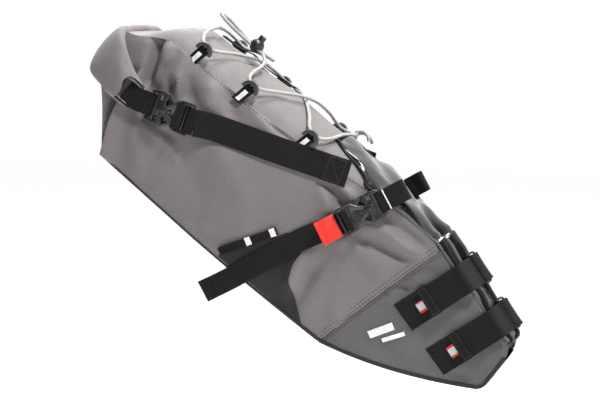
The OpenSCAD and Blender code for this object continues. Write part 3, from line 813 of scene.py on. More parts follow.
GLOSS_S = np.linspace(-1, 1, 81)
GLOSS_A = np.linspace(0, 1, 110)
s = GLOSS_S[None, :]
start = -240 + 62 * ease((np.abs(s) - 0.45) / 0.55)
u = mix(start, 60.0, GLOSS_A[:, None])
grid = skin(u, 2 - np.abs(s) + 0 * u)
grid[..., 1] *= np.where(GLOSS_S > 0, -1, 1)[None]
into = ease((u + 128) / 62)
half = top_half(u)
edge_tuck = ease((1 - np.abs(s)) / 0.1)
crossways = (1.4 * np.sin(u / 9.5 + 2.2 * np.abs(s))
             + 0.6 * np.sin(u / 5.3 - 3 * s)) * ease((np.abs(s) - 0.3) / 0.3)
puffs = (2.2 + 2.4 * np.sin(u / 13 + 1.8 * np.sin(3 * s))) * (1 - into) * ease((u - start) / 10)
seams = (-3.2 * np.exp(-((u + 78) / 2.2) ** 2)
         - 2.4 * np.exp(-((u + 20) / 2.0) ** 2)
         - 2.6 * np.exp(-((u + 150) / 2.4) ** 2))
v = mix(grid[..., 2] + 1.3, top_v(u) + ridge_profile(s + 0 * u, half), into)
raised = (crossways + puffs + seams * ease((np.abs(s) - 0.15) / 0.3)) * edge_tuck
grid = np.stack([grid[..., 0], grid[..., 1] * mix(1.0, 0.985, into), v + raised], -1)
gloss_grid = grid
uv = np.stack([u, grid[..., 1]], -1) * MM
nrm = normals(grid)
part = shell(grid, 1.6, uv, flip=nrm[30, 40, 2] < 0)
make("top_gloss", part, "tpu", stands_for=["top_panel_front", "seatpost_channel"])

# Black piping along the rear edge of the gloss and along both its side edges
rim = [gloss_grid[k, 0] for k in range(len(GLOSS_A) - 1, -1, -2)]
rim += [gloss_grid[0, k] for k in range(1, len(GLOSS_S) - 1)]
rim += [gloss_grid[k, -1] for k in range(0, len(GLOSS_A), 2)]
part = round_cord(resample(np.array(rim) + [0, 0, 0.4], 3), 1.7, 8)
make("gloss_piping", part, "tpu")

# Base: level, rising, then up the nose as a cup; it wraps a little way up both sides
turn_r = 14.0
rise = math.atan(0.225 + 0.00268 * (62 + 104))
base_line = [(u, float(base_v(u))) for u in np.linspace(-424, 62, 84)]
turn = (62 - turn_r * math.sin(rise), float(base_v(62.0)) + turn_r * math.cos(rise))
base_line += [(turn[0] + turn_r * math.sin(a), turn[1] - turn_r * math.cos(a))
              for a in np.linspace(rise, math.pi / 2, 9)[1:]]
base_line += [(67.6, -62), (67, -48), (66.6, -40), (66, -33)]
base_line = np.array(base_line)
tangent = unit(np.gradient(base_line, axis=0))
down = np.stack([tangent[:, 1], -tangent[:, 0]], -1)
n = len(base_line)
rows = []
for i in range(n):
    bu, bv = base_line[i]
    half = float(base_half(min(bu, 70)))
    # the wrap: points on the side a little above the base, standing just proud of it
    wrap = mix(2.2, 4.4, float(ease((bu + 240) / 130)))
    cup = float(ease((bu - 50) / 14))
    row = []
    for k in (1.0, 0.7, 0.4, 0.15):
        p = np.array([bu, bv]) - down[i] * wrap * k
        y = float(side_y(min(p[0], 64), p[1]))
        row.append([p[0], -(y + 0.9), p[1]])
    for s in np.linspace(-1, 1, 25):
        sag = 2.2 * (1 - s * s) * (1 - cup) - 1.2 * abs(s) ** 12
        dip = (7.0 if i == n - 1 else 0) * (1 - s * s)
        p = np.array([bu, bv]) + down[i] * sag
        row.append([p[0], s * (half + 0.9 - 0.9 * abs(s) ** 12), p[1] - dip])
    row += [[a, -b, c] for a, b, c in reversed(row[:4])]
    rows.append(row)
grid = np.array(rows)
uv = np.stack([np.broadcast_to(lengths(base_line)[:, None], grid.shape[:2]),
               np.broadcast_to(np.linspace(-90, 90, grid.shape[1])[None], grid.shape[:2])], -1) * MM
nrm = normals(grid)
part = shell(grid, 1.4, uv, flip=nrm[30, 16, 2] > 0)
make("base_cloth", part, "base_cloth", stands_for=["base_panel"])

# Underside of the neck
s = np.linspace(-1, 1, 33)
c = np.linspace(0, 1, 16)[:, None]
p0 = np.stack([-422 + 0 * s, s * (base_half(-424.0) - 1.5), -156 + 0 * s], -1)
p1 = np.stack([MOUTH[0] + 3 + 0 * s, (0.94 * MOUTH[1] - 1.5) * s, MOUTH[2] - MOUTH[3] + 1 + 0 * s], -1)
grid = mix(p0[None], p1[None], c[..., None])
sag = 9 * np.sin(math.pi * c) * (1 - np.abs(s[None]) ** 3)
grid[..., 2] += sag + 1.5 * np.sin(5 * s[None] + 3 * c) * np.sin(math.pi * c)
uv = np.stack([grid[..., 1], c * 100 + 0 * s[None]], -1) * MM
nrm = normals(grid)
part = shell(grid, 1.2, uv, flip=nrm[8, 16, 2] > 0)
o = make("neck_under", part, "cloth", body=None)
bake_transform(o)

# ---------------------------------------------------------------- the roll

ROLL_HALF = [
    (-434, -92, -75, 38, 19), (-453, -91, -73, 45, 19), (-471, -88, -68, 53, 20), (-486, -82, -64, 62, 21),
    (-496, -71, -62, 67, 22), (-501, -56, -61, 69, 23), (-502, -36, -61, 69, 23), (-503, -18, -61, 70, 23),
    (-503, 0, -61, 70, 23),
]
line = np.array(ROLL_HALF + [(a, -b, c, d, e) for a, b, c, d, e in reversed(ROLL_HALF[:-1])], float)
line = smooth_line(line, 7)
t = unit(np.gradient(line[:, :2], axis=0))
across = np.stack([-t[:, 1], t[:, 0], 0 * t[:, 0]], -1)  # towards the back of the bag at the middle
if across[len(across) // 2, 0] > 0:
    across = -across
theta = np.linspace(math.radians(150), math.radians(150) + 2 * math.pi * 1.85, 92)
turns = (theta - theta[0]) / (2 * math.pi)
f = 1 - 0.2 * turns
ca, sa = np.cos(theta), np.sin(theta)
px = np.sign(ca) * np.abs(ca) ** 0.8 * f
pz = np.sign(sa) * np.abs(sa) ** 0.9 * f
grid = (np.stack([line[:, 0], line[:, 1], line[:, 2]], -1)[:, None]
        + across[:, None] * (line[:, 4, None] / 2 * px[None])[..., None]
        + np.array([0, 0, 1.0]) * (line[:, 3, None] / 2 * pz[None])[..., None])
arc_s = lengths(line[:, :3])
crease = (0.8 * np.sin(arc_s / 13)[:, None] * np.sin(2 * theta)[None]
          + 0.5 * np.sin(arc_s / 6.1 + 1)[:, None] * np.cos(3 * theta)[None])
grid = grid + across[:, None] * crease[..., None] * 0.8
# the outer face of each end is cut back, so that the layers inside it show
cut = 19 * ease((ca * f + 0.15) / 0.5) * (1 + 0.12 * np.sin(3 * theta))
from_end = np.minimum(arc_s, arc_s[-1] - arc_s)
t3 = np.concatenate([t, 0 * t[:, :1]], -1) * np.where(arc_s < arc_s[-1] / 2, 1, -1)[:, None]
grid = grid + t3[:, None] * (cut[None] * (1 - ease(from_end / 55))[:, None])[..., None]
uv = np.stack(np.broadcast_arrays(arc_s[:, None], (turns * 120)[None]), -1) * MM
nrm = normals(grid)
mid = len(line) // 2
k0 = int(np.argmin(np.abs(theta - 2 * math.pi)))
part = shell(grid, 1.3, uv, flip=float(nrm[mid, k0] @ across[mid]) < 0)
make("roll_cloth", part, "cloth", body="roll", stands_for=["roll_top"])

# ---------------------------------------------------------------- buckles


def socket_part(w):
    h = w / 2
    parts = [box(-8, -4.7, -h - 0.8, h + 0.8, 0.4, 5.4, 1.0),
             box(-0.6, 2.4, -h - 3.4, h + 3.4, 0.2, 7.8, 0.9),
             box(2.2, 7.6, -(h - 6.2), h - 6.2, 0.4, 7.6, 0.5)]
    for s in (-1, 1):
        parts.append(prism([(-8.4, s * (h - 0.4)), (-4, s * (h - 0.6)), (2, s * (h - 0.8)),
                            (8, s * (h - 0.6)), (8, s * (h + 4)),
                            (2, s * (h + 4)), (-4, s * (h + 3.2)), (-8.4, s * (h + 1.2))][::s], 0.5, 7.8,
                            0.9))
    # upper plate: a collar with a scooped front edge, and an oval grip on it
    parts.append(prism([(7.2, -h - 4), (12.5, -h - 3.6), (13.6, -h + 2), (11.2, -h + 5), (13.4, -5),
                        (16.5, 0), (13.4, 5), (11.2, h - 5),
                        (13.6, h - 2), (12.5, h + 3.6), (7.2, h + 4)], 5.6, 8.3, 0.7))
    parts.append(prism([(7.2, -h - 3.8), (15, -h - 3.6), (18, -h + 1), (18, h - 1), (15, h + 3.6),
                        (7.2, h + 3.8)], 0.2, 2.0, 0.6))
    oval = [(8.6 + 5.6 * math.cos(a), 3.4 * math.sin(a)) for a in np.linspace(0, 2 * math.pi, 18)[:-1]]
    parts.append(prism(oval, 7.6, 9.4, 0.7))
    for x in (5.6, 7.6, 9.6, 11.6):
        parts.append(box(x - 0.35, x + 0.35, -2.3, 2.3, 9.1, 9.8, 0.2))
    return merge(*parts)


def arms_part(w):
    """Two arms that spread from the socket to the ladder, with their springy prongs."""
    h = w / 2
    parts = [box(2, 20, -2.1, 2.1, 2.8, 6.4, 0.7)]
    for s in (-1, 1):
        parts.append(prism([(10, s * 0.6), (15, s * 1.0), (27.4, s * (h - 5.4)), (29.4, s * (h - 5.4)),
                            (29.4, s * (h + 2.4)),
                            (25.5, s * (h + 2.4)), (20, s * (h - 3.6)), (13, s * 5.6), (10, s * 5.0)][::s],
                            2.4, 7.4, 1.0))
        parts.append(prism([(5.4, s * (h + 1.2)), (8.5, s * (h + 4.4)), (14, s * (h + 4.4)),
                            (19.5, s * (h + 0.4)), (23, s * (h - 1.5)),
                            (21, s * (h - 4.2)), (13.4, s * (h + 0.6)), (8.4, s * (h + 0.4))][::s], 2.6,
                            6.6, 0.9))
    return merge(*parts)


def ladder_part(w):
    h = w / 2
    parts = [box(28.6, 31.2, -h - 2.4, h + 2.4, 1.6, 7.2, 1.0),
             box(35.1, 37.7, -h - 1.2, h + 1.2, 2.4, 5.9, 1.1),
             box(42.2, 44.6, -h - 2.8, h + 2.8, 1.5, 6.4, 1.0)]
    for s in (-1, 1):
        parts.append(prism([(27, s * (h + 0.4)), (35, s * (h + 0.2)), (44.4, s * (h + 0.4)),
                            (44.4, s * (h + 3.2)), (40, s * (h + 3.6)),
                            (27, s * (h + 2.6))][::s], 1.2, 7.8, 1.0))
    return merge(*parts)


ROLL_F = place_frame((-410, -68, 19, 5), flat=True)
RAIL_F = place_frame((-153, 8, 249, 6))
ROLL_W, RAIL_W = 30.0, 25.0
both_sides("roll_socket_detail", placed(socket_part(ROLL_W), ROLL_F), "plastic", body="roll",
           stands_for=["roll_socket_"])
both_sides("roll_plug_arms", placed(arms_part(ROLL_W), ROLL_F), "plastic_grey", stands_for=["roll_plug_"])
both_sides("roll_plug_ladder", placed(ladder_part(ROLL_W), ROLL_F), "plastic")
both_sides("rail_socket_detail", placed(socket_part(RAIL_W), RAIL_F), "plastic",
           stands_for=["rail_socket_"])
both_sides("rail_plug_arms", placed(arms_part(RAIL_W), RAIL_F), "plastic_grey", body="rail_release_",
           stands_for=["rail_plug_"])
both_sides("rail_plug_ladder", placed(ladder_part(RAIL_W), RAIL_F), "plastic", body="rail_release_")

# ---------------------------------------------------------------- webbing

# Roll strap: round the ladder's bars, then along the side to its box of stitches
lead = off_side(ROLL_F, 50, 6.45)
folded = strip([(25, 10.2), (33, 10.2), (33, 0.9), (40, 0.9), (40, 7.2), (51, 7.2)], ROLL_F, ROLL_W - 0.6)
pos, out = lift_line([lead, (-349, -45, 5), (-335, -39.3, 2.8), (-320, -33.5, 2.2), (-290, -22, 1.9),
                      (-260, -10.5, 1.9), (-230, 1.2, 1.9),
                      (-202, 12, 1.8)])
straight = band(pos, out, ROLL_W, 1.5, 10)
both_sides("roll_strap_web", merge(folded, straight), "webbing", stands_for=["roll_strap_"])
hem_pos, hem_out = lift_line([(-226, 2.6, 3.5), (-198, 13.6, 3.3)], 2)
both_sides("roll_strap_hem", band(hem_pos, hem_out, ROLL_W + 0.5, 1.5, 10), "webbing")

# Webbing from the end of the roll to the socket
folded = strip([(-2.5, 2.4), (-2.5, 5.4), (-13, 5.4)], ROLL_F, ROLL_W - 4)
pos, out = lift_line([off_side(ROLL_F, -12.5, 4.7), (-431, -76, 10), (-439, -76.3, 10.7),
                      (-449, -76, 11.2)], 2)
both_sides("roll_end_web", merge(folded, band(pos, out, ROLL_W - 4, 1.5, 8)), "webbing", body="roll",
           stands_for=["roll_end_webbing_"])

# Rail strap: sewn down on the side, through the ladder and back as a loose tail
folded = strip([(48, -3.2), (33, -3.2), (33, 7.2), (40, 7.2), (40, -1.2), (48, -1.2)], RAIL_F, RAIL_W - 0.8,
               ribs=8)
low, high = off_side(RAIL_F, 47, -3.95), off_side(RAIL_F, 47, -1.95)
pos, out = lift_line([low, (-190, -75, 1.2), (-206, -118, 1.6)])
anchor = band(pos, out, RAIL_W, 1.4, 8)
pos, out = lift_line([high, (-188, -70, 2.6), (-198, -97, 3.2), (-206, -118, 3.8), (-214, -139, 4.2),
                      (-225, -167, 3.6), (-237, -195, 3.4)])
tail = band(pos, out, RAIL_W, 1.4, 8)
both_sides("rail_strap_web", merge(folded, anchor, tail), "webbing", stands_for=["rail_strap_"])
pos, out = lift_line([(-232.5, -184.5, 4.8), (-237, -195, 4.6)], 1.5)
both_sides("rail_strap_hem", band(pos, out, RAIL_W + 0.3, 1.3, 8), "webbing")

# Red pull tab folded round the strap behind the ladder
tab = [prism([(47.5, -13.6), (71.4, -13.8), (71.8, 13.7), (47.8, 13.9)], 0.5, 2.0, 0.5),
       prism([(66.2, -14.2), (71.4, -14.2), (71.8, 14.2), (66.6, 14.2)], 1.8, 3.1, 0.5)]
both_sides("pull_tab_cloth", placed(merge(*tab), RAIL_F), "red_web", body="rail_release_",
           stands_for=["pull_tab_"])

# Loop over the saddle rail
EYE_X, EYE_Z, EYE_R = -34.0, 2.0, 3.6
c = EYE_R + 0.75
eye = [(EYE_X + c * math.cos(a), EYE_Z + c * math.sin(a)) for a in np.radians(np.linspace(80, 280, 16))]
loop_line = [(-2.5, 2.4), (-2.5, 5.4), (-9, 5.6), (-16, 5.8), (-26, 6.6)] + eye + [(-26, -2.5), (-18, -5)]
both_sides("rail_loop_web", strip(loop_line, RAIL_F, RAIL_W - 1, ribs=8), "webbing",
           stands_for=["rail_loop_"])
line_part = box(-13.4, -12.0, -11.8, 11.8, 6.2, 6.9, 0.2)
both_sides("rail_loop_reflector", placed(line_part, RAIL_F), "reflective")

# ---------------------------------------------------------------- trim on the sides


def flat_piece(outline_rows, lift, thick):
    """A sheet laid on the right side from rows of [u, v]."""
    p = np.asarray(outline_rows, float)
    u, v = p[..., 0], p[..., 1]
    grid = np.stack([u, -side_y(u, v) - lift - relief(u, v) * ease((v - base_v(u)) / 12), v], -1)
    nrm = normals(grid)
    return shell(grid, thick, flat_uv(grid), flip=nrm[0, 0, 1] > 0)


rows = []
for t in np.linspace(0, 1, 34):
    back = mix(-250, -206, t)
    front = np.interp(t, [0, 0.18, 0.4, 0.62, 0.84, 1], [-131, -150, -172, -180, -181, -179])
    rows.append([[mix(back, front, k), mix(-152.5, -78 + 8 * k, t)] for k in np.linspace(0, 1, 30)])
rows = np.array(rows)
both_sides("wear_patch_cloth", flat_piece(rows, 1.5, 0.9), "patch_cloth", stands_for=["wear_patch_"])
PATCH_EDGE = np.concatenate([rows[1:-1, 0] + [2.4, 0], rows[-1, 1:-1] - [0, 2.4],
                             rows[::-1, -1][1:-1] - [2.4, 0]])

pos, out = lift_line([(-252, -147, 2.9), (-235, -118, 3.3), (-216, -84, 2.9)], 2)
both_sides("daisy_web", band(pos, out, 9, 1.1, 4), "webbing", stands_for=["daisy_webbing_"])
bars = []
for u, v in ((-233.5, -114.5), (-218.5, -88.5)):
    pos, out = lift_line([(u - 1.6, v - 2.8, 3.9), (u + 1.6, v + 2.8, 3.9)], 1, smooth=False)
    bars.append(band(pos, out, 9.4, 0.5, 3, 0.1))
both_sides("daisy_reflector", merge(*bars), "reflective")


# Haul webbing along the far side of the top
def haul_v(u, y):
    """How high the haul webbing lies: on the top's crown, and over two humps."""
    on_top = float(top_v(u) + crown(u) * (1 - (y / top_half(u)) ** 2))
    return on_top + 2.4 + 4.0 * math.exp(-((u + 388) / 11) ** 2) + 2.2 * math.exp(-((u + 335) / 14) ** 2)


grid = np.array([[[u, y, haul_v(u, y)] for y in np.linspace(44, 60, 12)]
                 for u in np.linspace(-430, -312, 70)])
part = shell(grid, 1.3, grid[..., :2] * MM, flip=normals(grid)[5, 5, 2] < 0)
make("haul_web", part, "webbing", stands_for=["haul_webbing"])

# Generic reflective mark on the nose: two slanted bars
marks = []
for du, width in ((0, 9), (15, 5)):
    pos, out = lift_line([(-66 + du, -112 + du * 0.3, 0.9), (-52 + du, -86 + du * 0.1, 0.9)], 2,
                         smooth=False, sewn=True)
    marks.append(band(pos, out, width, 0.5, 3, 0.05))
both_sides("nose_reflector", merge(*marks), "reflective")

# ---------------------------------------------------------------- lacing: tabs, hooks, cord, knot

HOOK_US = (-411.0, -343.0, -256.0)
tabs, stripes, hooks = [], [], []
for u in HOOK_US:
    foot = skin(u - 3, 0.985).astype(float)
    under = skin(u - 4, 0.93)
    corner = np.array([u, -float(top_half(u)), float(top_v(u))])
    eye_at = corner + [0, -3.4, 1.2]
    path = np.array([under + [0, -0.9, 0], foot + [0, -1.6, 0.4], mix(foot, eye_at, 0.55) + [0, -2.2, -0.6],
                     eye_at + [0, -1.0, 0.2],
                     eye_at + [0, 1.6, 1.8], eye_at + [0, 2.4, -0.6],
                     mix(foot, eye_at, 0.4) + [0, 0.8, 1.0]])
    path = resample(smooth_line(path, 8), 1.0)
    t = unit(np.gradient(path, axis=0))
    along = np.tile([1.0, 0, 0], (len(path), 1))
    tabs.append(sweep(path, along, np.cross(t, along), web_profile(12.5, 1.2, 5, 0.2)))
    part = path[2:18]
    t = t[2:18]
    n_out = np.cross(t, along[:16])
    n_out *= np.sign(n_out[:, 1:2]) * -1
    stripes.append(sweep(part + n_out * 0.95, along[:16], n_out,
                         [(-2.6, -0.2), (2.6, -0.2), (2.6, 0.25), (-2.6, 0.25)][::-1]))
    # hook: a half-round cap with a deep slot, a thin back and a bar for the tab
    shape = [arc(0, -1, 10.2, -8, 188, 22), arc(0, -1, 6.2, 188, -8, 16)]
    cap = prism(shape[0] + shape[1], -3.4, 4.1, 0.9)
    bar = prism([(-9.6, -3.2), (9.6, -3.2), (9.6, -0.4), (-9.6, -0.4)], -3.2, 0.2, 0.8)
    lip = prism(arc(-3.2, 1.2, 4.6, 30, 185, 12) + arc(-3.2, 1.2, 3.4, 185, 30, 12), 4.0, 4.9, 0.25)
    piece = merge(cap, bar, lip,
                  prism(arc(4.4, 0.6, 4.9, -20, 110, 12) + arc(4.4, 0.6, 2.0, 110, -20, 10), 3.9, 5.0, 0.3))
    q, fcs, w2 = piece
    hooks.append((np.stack([q[:, 0], -q[:, 2] - 4.0, q[:, 1]], -1) + corner, fcs, w2))
both_sides("hook_tab_web", merge(*tabs), "webbing")
both_sides("hook_tab_reflector", merge(*stripes), "reflective")
cap_objects = both_sides("hook_cap", merge(*hooks), "plastic_grey")
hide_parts("cord_hooks")
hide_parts("hook_tabs")

CORD = [
    (-236, 59, 27), (-235, 38, 30), (-236, 12, 32), (-238, -18, 32), (-240, -45, 28), (-246, -62, 23),
    (-256, -67.5, 21),
    (-266, -62, 24), (-276, -44, 29), (-290, -16, 31), (-306, 14, 31), (-322, 44, 27), (-333, 63, 20.5),
    (-343, 69, 18.5),
    (-353, 64, 20.5), (-362, 44, 24), (-370, 20, 27), (-379, -6, 27), (-390, -38, 24), (-401, -63, 18.5),
    (-411, -69, 16.5),
    (-421, -63, 18.5), (-429, -40, 23), (-431, 0, 27), (-429, 40, 23), (-421, 63, 18.5), (-411, 69, 16.5),
    (-401, 63, 18.5),
    (-386, 46, 27), (-370, 36, 33), (-361, 24, 36.5), (-372, 14, 37), (-384, 14, 37), (-396, 14, 37),
    (-414, 19, 38.5),
    (-430, 19, 40), (-440, 10, 40.5), (-430, 1, 40), (-414, 1, 38.5), (-396, 6, 37), (-384, 6, 37),
    (-372, 6, 37),
    (-362, -7, 35), (-358, -26, 30.5), (-357, -46, 25), (-353, -62, 20.5), (-343, -69, 18.5),
    (-333, -63, 20.5),
    (-318, -44, 28), (-302, -16, 35), (-288, 12, 36), (-274, 42, 30), (-265, 61, 23.5), (-256, 67.5, 21),
    (-244, 67, 23.5),
]
CORD_R = 2.0
route = resample(smooth_line(np.array(CORD, float), 10), 1.6)
part = round_cord(route, CORD_R, 12)
cord = make("shock_cord_run", part, "cord_cover", stands_for=["shock_cord"])

# Knot: three tight turns over each other, with two short ends
a = np.linspace(0, 2 * math.pi, 90)
core = np.stack([np.cos(2 * a) * (3.9 + 1.5 * np.cos(3 * a)), np.sin(2 * a) * (3.9 + 1.5 * np.cos(3 * a)),
                 1.9 * np.sin(3 * a)], -1)
knot = np.stack([core[:, 2], core[:, 0], core[:, 1]], -1) + [-237, 66, 26]
ends = [smooth_line([(-237, 66, 29), (-230, 67, 34), (-222, 70, 34), (-217, 74, 30)], 8),
        smooth_line([(-238, 64, 30), (-232, 60, 36), (-225, 56, 37), (-219, 55, 33)], 8)]
part = merge(round_cord(knot, 1.9, 10), round_cord(ends[0], 1.9, 10), round_cord(ends[1], 1.9, 10))
knot_piece = make("shock_cord_knot", part, "cord_cover", stands_for=["cord_knot"])

# ---------------------------------------------------------------- seatpost straps


def post_side(x, z, lift):
    c, s = math.cos(SLOPE), math.sin(SLOPE)
    return side_y(x * c + z * s, -x * s + z * c) + lift


STRAP_W, STRAP_T, STRAP_LIFT = 34.0, 2.0, 3.8
POST_R = 15.9
for name, x in (("upper", -28.0), ("lower", 33.0)):
    back = x - STRAP_W / 2
    r = POST_R + 0.3 + STRAP_T / 2
    line = [(float(post_side(back, z, STRAP_LIFT)), z)
            for z in (-26, -16, -8)] + [(float(post_side(back, -2, STRAP_LIFT)), 1)]
    line += [(r * math.cos(math.radians(a)), r * math.sin(math.radians(a))) for a in range(30, 151, 15)]
    line += [(-float(post_side(back, -2, STRAP_LIFT)),
              1)] + [(-float(post_side(back, z, STRAP_LIFT)), z) for z in np.arange(-8, -52.5, -11)]
    line = smooth_line(np.array(line), 6)
    line = resample(line, 2.5)
    centre = np.stack([x + 0 * line[:, 0], line[:, 0], line[:, 1]], -1)
    t = unit(np.gradient(centre, axis=0))
    along = np.tile([1.0, 0, 0], (len(centre), 1))
    outw = np.cross(along, t)
    outw *= np.sign(outw[len(outw) // 2, 2])
    # elastic webbing cups a little where it turns
    cup = [(a, b + 0.6 * (a / 17) ** 2) for a, b in web_profile(STRAP_W, STRAP_T - 0.2, 12, 0.34)]
    part = sweep(centre, along, outw, cup if np.cross(along[0], outw[0]) @ t[0] > 0 else cup[::-1])
    make(f"post_strap_{name}", on_post(part), "elastic", body=f"strap_{name}",
         stands_for=[f"seatpost_strap_{name}"])
    # stiff sewn end
    tip = centre[-5:] + outw[-5:] * 1.5
    tip[-1] += unit(tip[-1] - tip[-2]) * 0.6
    part = sweep(tip, along[-5:], outw[-5:], web_profile(STRAP_W + 1.2, 1.5, 6, 0.1))
    make(f"post_strap_tip_{name}", on_post(part), "webbing", body=f"strap_{name}")
    seams = []
    for k in (-5, -1):
        p = centre[k] + outw[k] * 2.3 + unit(centre[-1] - centre[-2]) * (-1.6 if k == -1 else 1.0)
        seams.append(stitches(np.array([p + [-15.5, 0, 0], p + [15.5, 0, 0]]), np.array([outw[k], outw[k]]),
                              3.2, 0.65, 0.38, 0.1))
    for a in (-15.2, 15.2):
        p = centre[-5:] + outw[-5:] * 2.3 + [a, 0, 0]
        seams.append(stitches(p, outw[-5:], 3.2, 0.65, 0.38, 0.1))
    pts, faces, _ = merge(*seams)
    make(f"post_strap_stitches_{name}", (turn_post(pts), faces, None), "thread", body=f"strap_{name}",
         slot="webbing")
    # label: red, white, red, from under the end of the strap
    lab = []
    for k, (a, b) in enumerate(((-7.0, -4.2), (-4.4, 4.4), (4.2, 7.0))):
        z = np.linspace(-62.5, -50, 7)
        y = -np.array([float(post_side(x, q, 0)) for q in z]) - 2.7
        rows = np.stack([np.stack([np.full_like(z, x + m), y, z], -1) for m in np.linspace(a, b, 5)])
        nrm = normals(rows)
        lab.append((k, shell(rows, 0.9, rows[..., [0, 2]] * MM, flip=nrm[0, 0, 1] > 0)))
    part = merge(lab[0][1], lab[2][1])
    make(f"strap_label_red_{name}", on_post(part), "red_web", body=f"strap_{name}",
         stands_for=[f"strap_label_{name}"])
    part = lab[1][1]
    make(f"strap_label_white_{name}", on_post(part), "white_web", body=f"strap_{name}")
    # hook-and-loop patch sewn to the side
    rng = np.random.default_rng(7)
    zz, xx = np.linspace(-82.5, -41.5, 60), np.linspace(x - STRAP_W / 2 - 0.5, x + STRAP_W / 2 + 0.5, 52)
    xg, zg = np.meshgrid(xx, zz, indexing="ij")
    y = -post_side(xg, zg, 1.5) - 0.35 * rng.random(xg.shape)
    grid = np.stack([xg, y, zg], -1)
    nrm = normals(grid)
    part = shell(grid, 1.0, grid[..., [0, 2]] * MM, flip=nrm[10, 10, 1] > 0)
    make(f"loop_patch_{name}", on_post(part), "fuzz", stands_for=[f"loop_pad_{name}"])
    # ring that the strap runs through at the left shoulder
    half, tall = STRAP_W / 2 + 2.4, 3.6
    cy = (float(post_side(back, -2, STRAP_LIFT)) + 15) / 2
    ring = []
    for sx, sz, a0 in ((1, 1, 0), (-1, 1, 90), (-1, -1, 180), (1, -1, 270)):
        for a in np.radians(np.linspace(a0, a0 + 90, 6)):
            ring.append((sx * (half - 2) + 2 * math.cos(a), sz * (tall - 2) + 2 * math.sin(a)))
    tilt = math.radians(-20)
    loop = np.array([[x + p, cy - q * math.sin(tilt), 5.2 + q * math.cos(tilt)] for p, q in ring])
    t = unit(np.roll(loop, -1, axis=0) - np.roll(loop, 1, axis=0))
    side_way = np.tile([0, math.cos(tilt), math.sin(tilt)], (len(loop), 1))
    prof = [(2.3 * math.cos(a), 1.35 * math.sin(a)) for a in np.linspace(0, 2 * math.pi, 11)[:-1]]
    part = sweep(loop, side_way, np.cross(t, side_way), prof, closed=True)
    make(f"strap_ring_loop_{name}", on_post(part), "plastic", body=f"strap_{name}",
         stands_for=[f"strap_ring_{name}"])

# ---------------------------------------------------------------- seams and stitches


def on_grid(grid, line):
    """The places of a line of grid points and the way out of the bag there."""
    nrm = normals(grid)
    p = np.array([grid[i, j] for i, j in line])
    n = np.array([nrm[i, j] for i, j in line])
    n *= np.where(n[:, 1:2] > 0, -1, 1)
    return p, n


groups = []
for row_back, shift in ((2, 0), (3, -1.2)):
    p, n = on_grid(side_grid, [(len(side_grid) - row_back, j) for j in range(1, len(SIDE_W) - 2)])
    groups.append(stitches(p + [shift, 0, 0], n, 4.4, 0.7, 0.42, 0.2))
p, n = on_grid(nose_grid, [(2, j) for j in range(1, len(NOSE_W) - 2)])
groups.append(stitches(p, n, 4.4, 0.7, 0.42, 0.2))
both_sides("stitches_seam", merge(*groups), "thread", slot="fabric_charcoal")

p, n = on_grid(side_grid, [(i, len(SIDE_W) - 3) for i in range(8, len(side_grid) - 1)])
groups = [stitches(p, n, 4.0, 0.7, 0.4, 0.2)]
p, n = on_grid(nose_grid, [(i, len(NOSE_W) - 3) for i in range(1, len(nose_grid) - 1)])
groups.append(stitches(p, n, 4.0, 0.7, 0.4, 0.2))
both_sides("stitches_top_seam", merge(*groups), "thread", slot="fabric_charcoal")

edge = resample(PATCH_EDGE, 2)
edge = np.stack([edge[:, 0], -side_y(edge[:, 0], edge[:, 1]) - 1.7 - relief(edge[:, 0], edge[:, 1]),
                 edge[:, 1]], -1)
both_sides("stitches_patch", stitches(edge, side_normal(edge[:, 0], edge[:, 2]), 3.4, 0.66, 0.36, 0.1),
           "thread", slot="patch_black")

groups = []
t = unit(np.array([118.0, 45.5]))
perp = np.array([-t[1], t[0]])
corner = np.array([-202.0, 12.0])
for a, b in (((-2, -12.5), (-2, 12.5)), ((-20, -12.5), (-20, 12.5)), ((-2, -12.5), (-20, -12.5)),
             ((-2, 12.5), (-20, 12.5)), ((-2, -12.5), (-20, 12.5))):
    q = [corner + t * a[0] + perp * a[1], corner + t * b[0] + perp * b[1]]
    pos, out = lift_line([(q[0][0], q[0][1], 4.2), (q[1][0], q[1][1], 4.2)], 2, smooth=False)
    groups.append(stitches(pos, out, 3.0, 0.66, 0.36, 0.1))
both_sides("stitches_roll_strap", merge(*groups), "thread", slot="webbing")

# ---------------------------------------------------------------- what is left of the CAD

for node, mat in (("base_stiffener", "board"), ("roll_stiffener", "board"), ("cord_lock_body", "plastic"),
                  ("cord_lock_button", "plastic"),
                  ("cord_lock_spring", "steel")):
    obj = frame["nodes"][node]
    obj.data.materials.clear()
    obj.data.materials.append(materials[mat])
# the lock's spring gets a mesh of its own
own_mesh(frame["nodes"]["cord_lock_spring"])

# ---------------------------------------------------------------- camera, light and floor

BAG_CENTRE = (-0.2, 0, 0.1)
target = Vector((-0.2165, 0.0056, 0.0953))
camera = bpy.data.objects.new("camera", bpy.data.cameras.new("camera"))
bpy.context.scene.collection.objects.link(camera)
camera.location = (0.3527, -2.2111, 0.3237)
camera.rotation_euler = (target - camera.location).to_track_quat("-Z", "Y").to_euler()
camera.data.lens = 120
camera.data.sensor_width = 36
bpy.context.scene.camera = camera

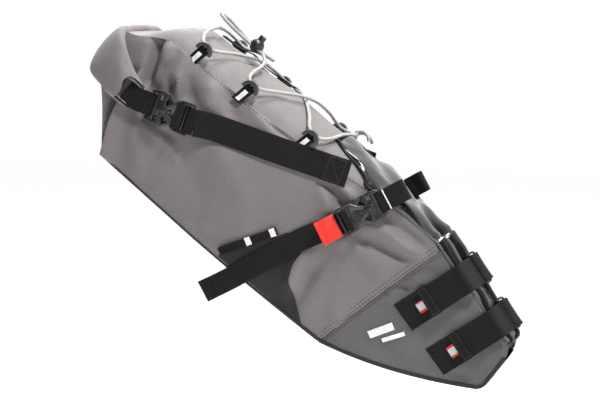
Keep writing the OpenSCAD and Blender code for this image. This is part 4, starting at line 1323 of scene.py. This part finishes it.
world_light = bpy.data.worlds.new("studio")
bpy.context.scene.world = world_light
world_light.use_nodes = True
sky = world_light.node_tree
sky.nodes["Background"].inputs["Color"].default_value = (1, 1, 1, 1)
split = sky.nodes.new("ShaderNodeSeparateXYZ")
sky.links.new(sky.nodes.new("ShaderNodeTexCoord").outputs["Generated"], split.inputs[0])
tone = sky.nodes.new("ShaderNodeMapRange")
tone.interpolation_type = "SMOOTHSTEP"
sky.links.new(split.outputs["Y"], tone.inputs["Value"])
# dim behind the camera, full white behind the bag: direction y from and to, strength from and to
for k, value in enumerate((-0.5, 0.5, 0.08, 1.0)):
    tone.inputs[k + 1].default_value = value
sky.links.new(tone.outputs[0], sky.nodes["Background"].inputs["Strength"])


def area(name, place, aim, size, power):
    light = bpy.data.lights.new(name, "AREA")
    light.size = size
    light.energy = power
    obj = bpy.data.objects.new(name, light)
    bpy.context.scene.collection.objects.link(obj)
    obj.location = place
    obj.rotation_euler = (Vector(aim) - Vector(place)).to_track_quat("-Z", "Y").to_euler()


area("key", (0.75, -0.85, 2.2), BAG_CENTRE, 0.4, 76)
area("fill", (1.2, -2.4, 0.5), (-0.1, 0, 0.1), 1.0, 8)
area("top", (0.1, 0.3, 2.0), BAG_CENTRE, 0.7, 38)
area("back", (-1.0, 1.9, 1.4), BAG_CENTRE, 1.0, 22)

FLOOR_REACH, FLOOR_Z = 9, -0.62  # metres
floor = bpy.data.meshes.new("floor")
corners = [(x * FLOOR_REACH, y * FLOOR_REACH, FLOOR_Z) for x, y in ((-1, -1), (1, -1), (1, 1), (-1, 1))]
floor.from_pydata(corners, [], [(0, 1, 2, 3)])
floor_obj = bpy.data.objects.new("floor", floor)
bpy.context.scene.collection.objects.link(floor_obj)
g = Graph("floor", 0.8, Specular_IOR_Level=0.1, Emission_Color=(1, 1, 1, 1), Emission_Strength=0.45)
g.colour(g.mix(g.noise(3, 2), (0.93, 0.93, 0.93, 1), (0.96, 0.96, 0.96, 1)))
floor.materials.append(materials["floor"])
bpy.context.scene.view_settings.view_transform = "Standard"
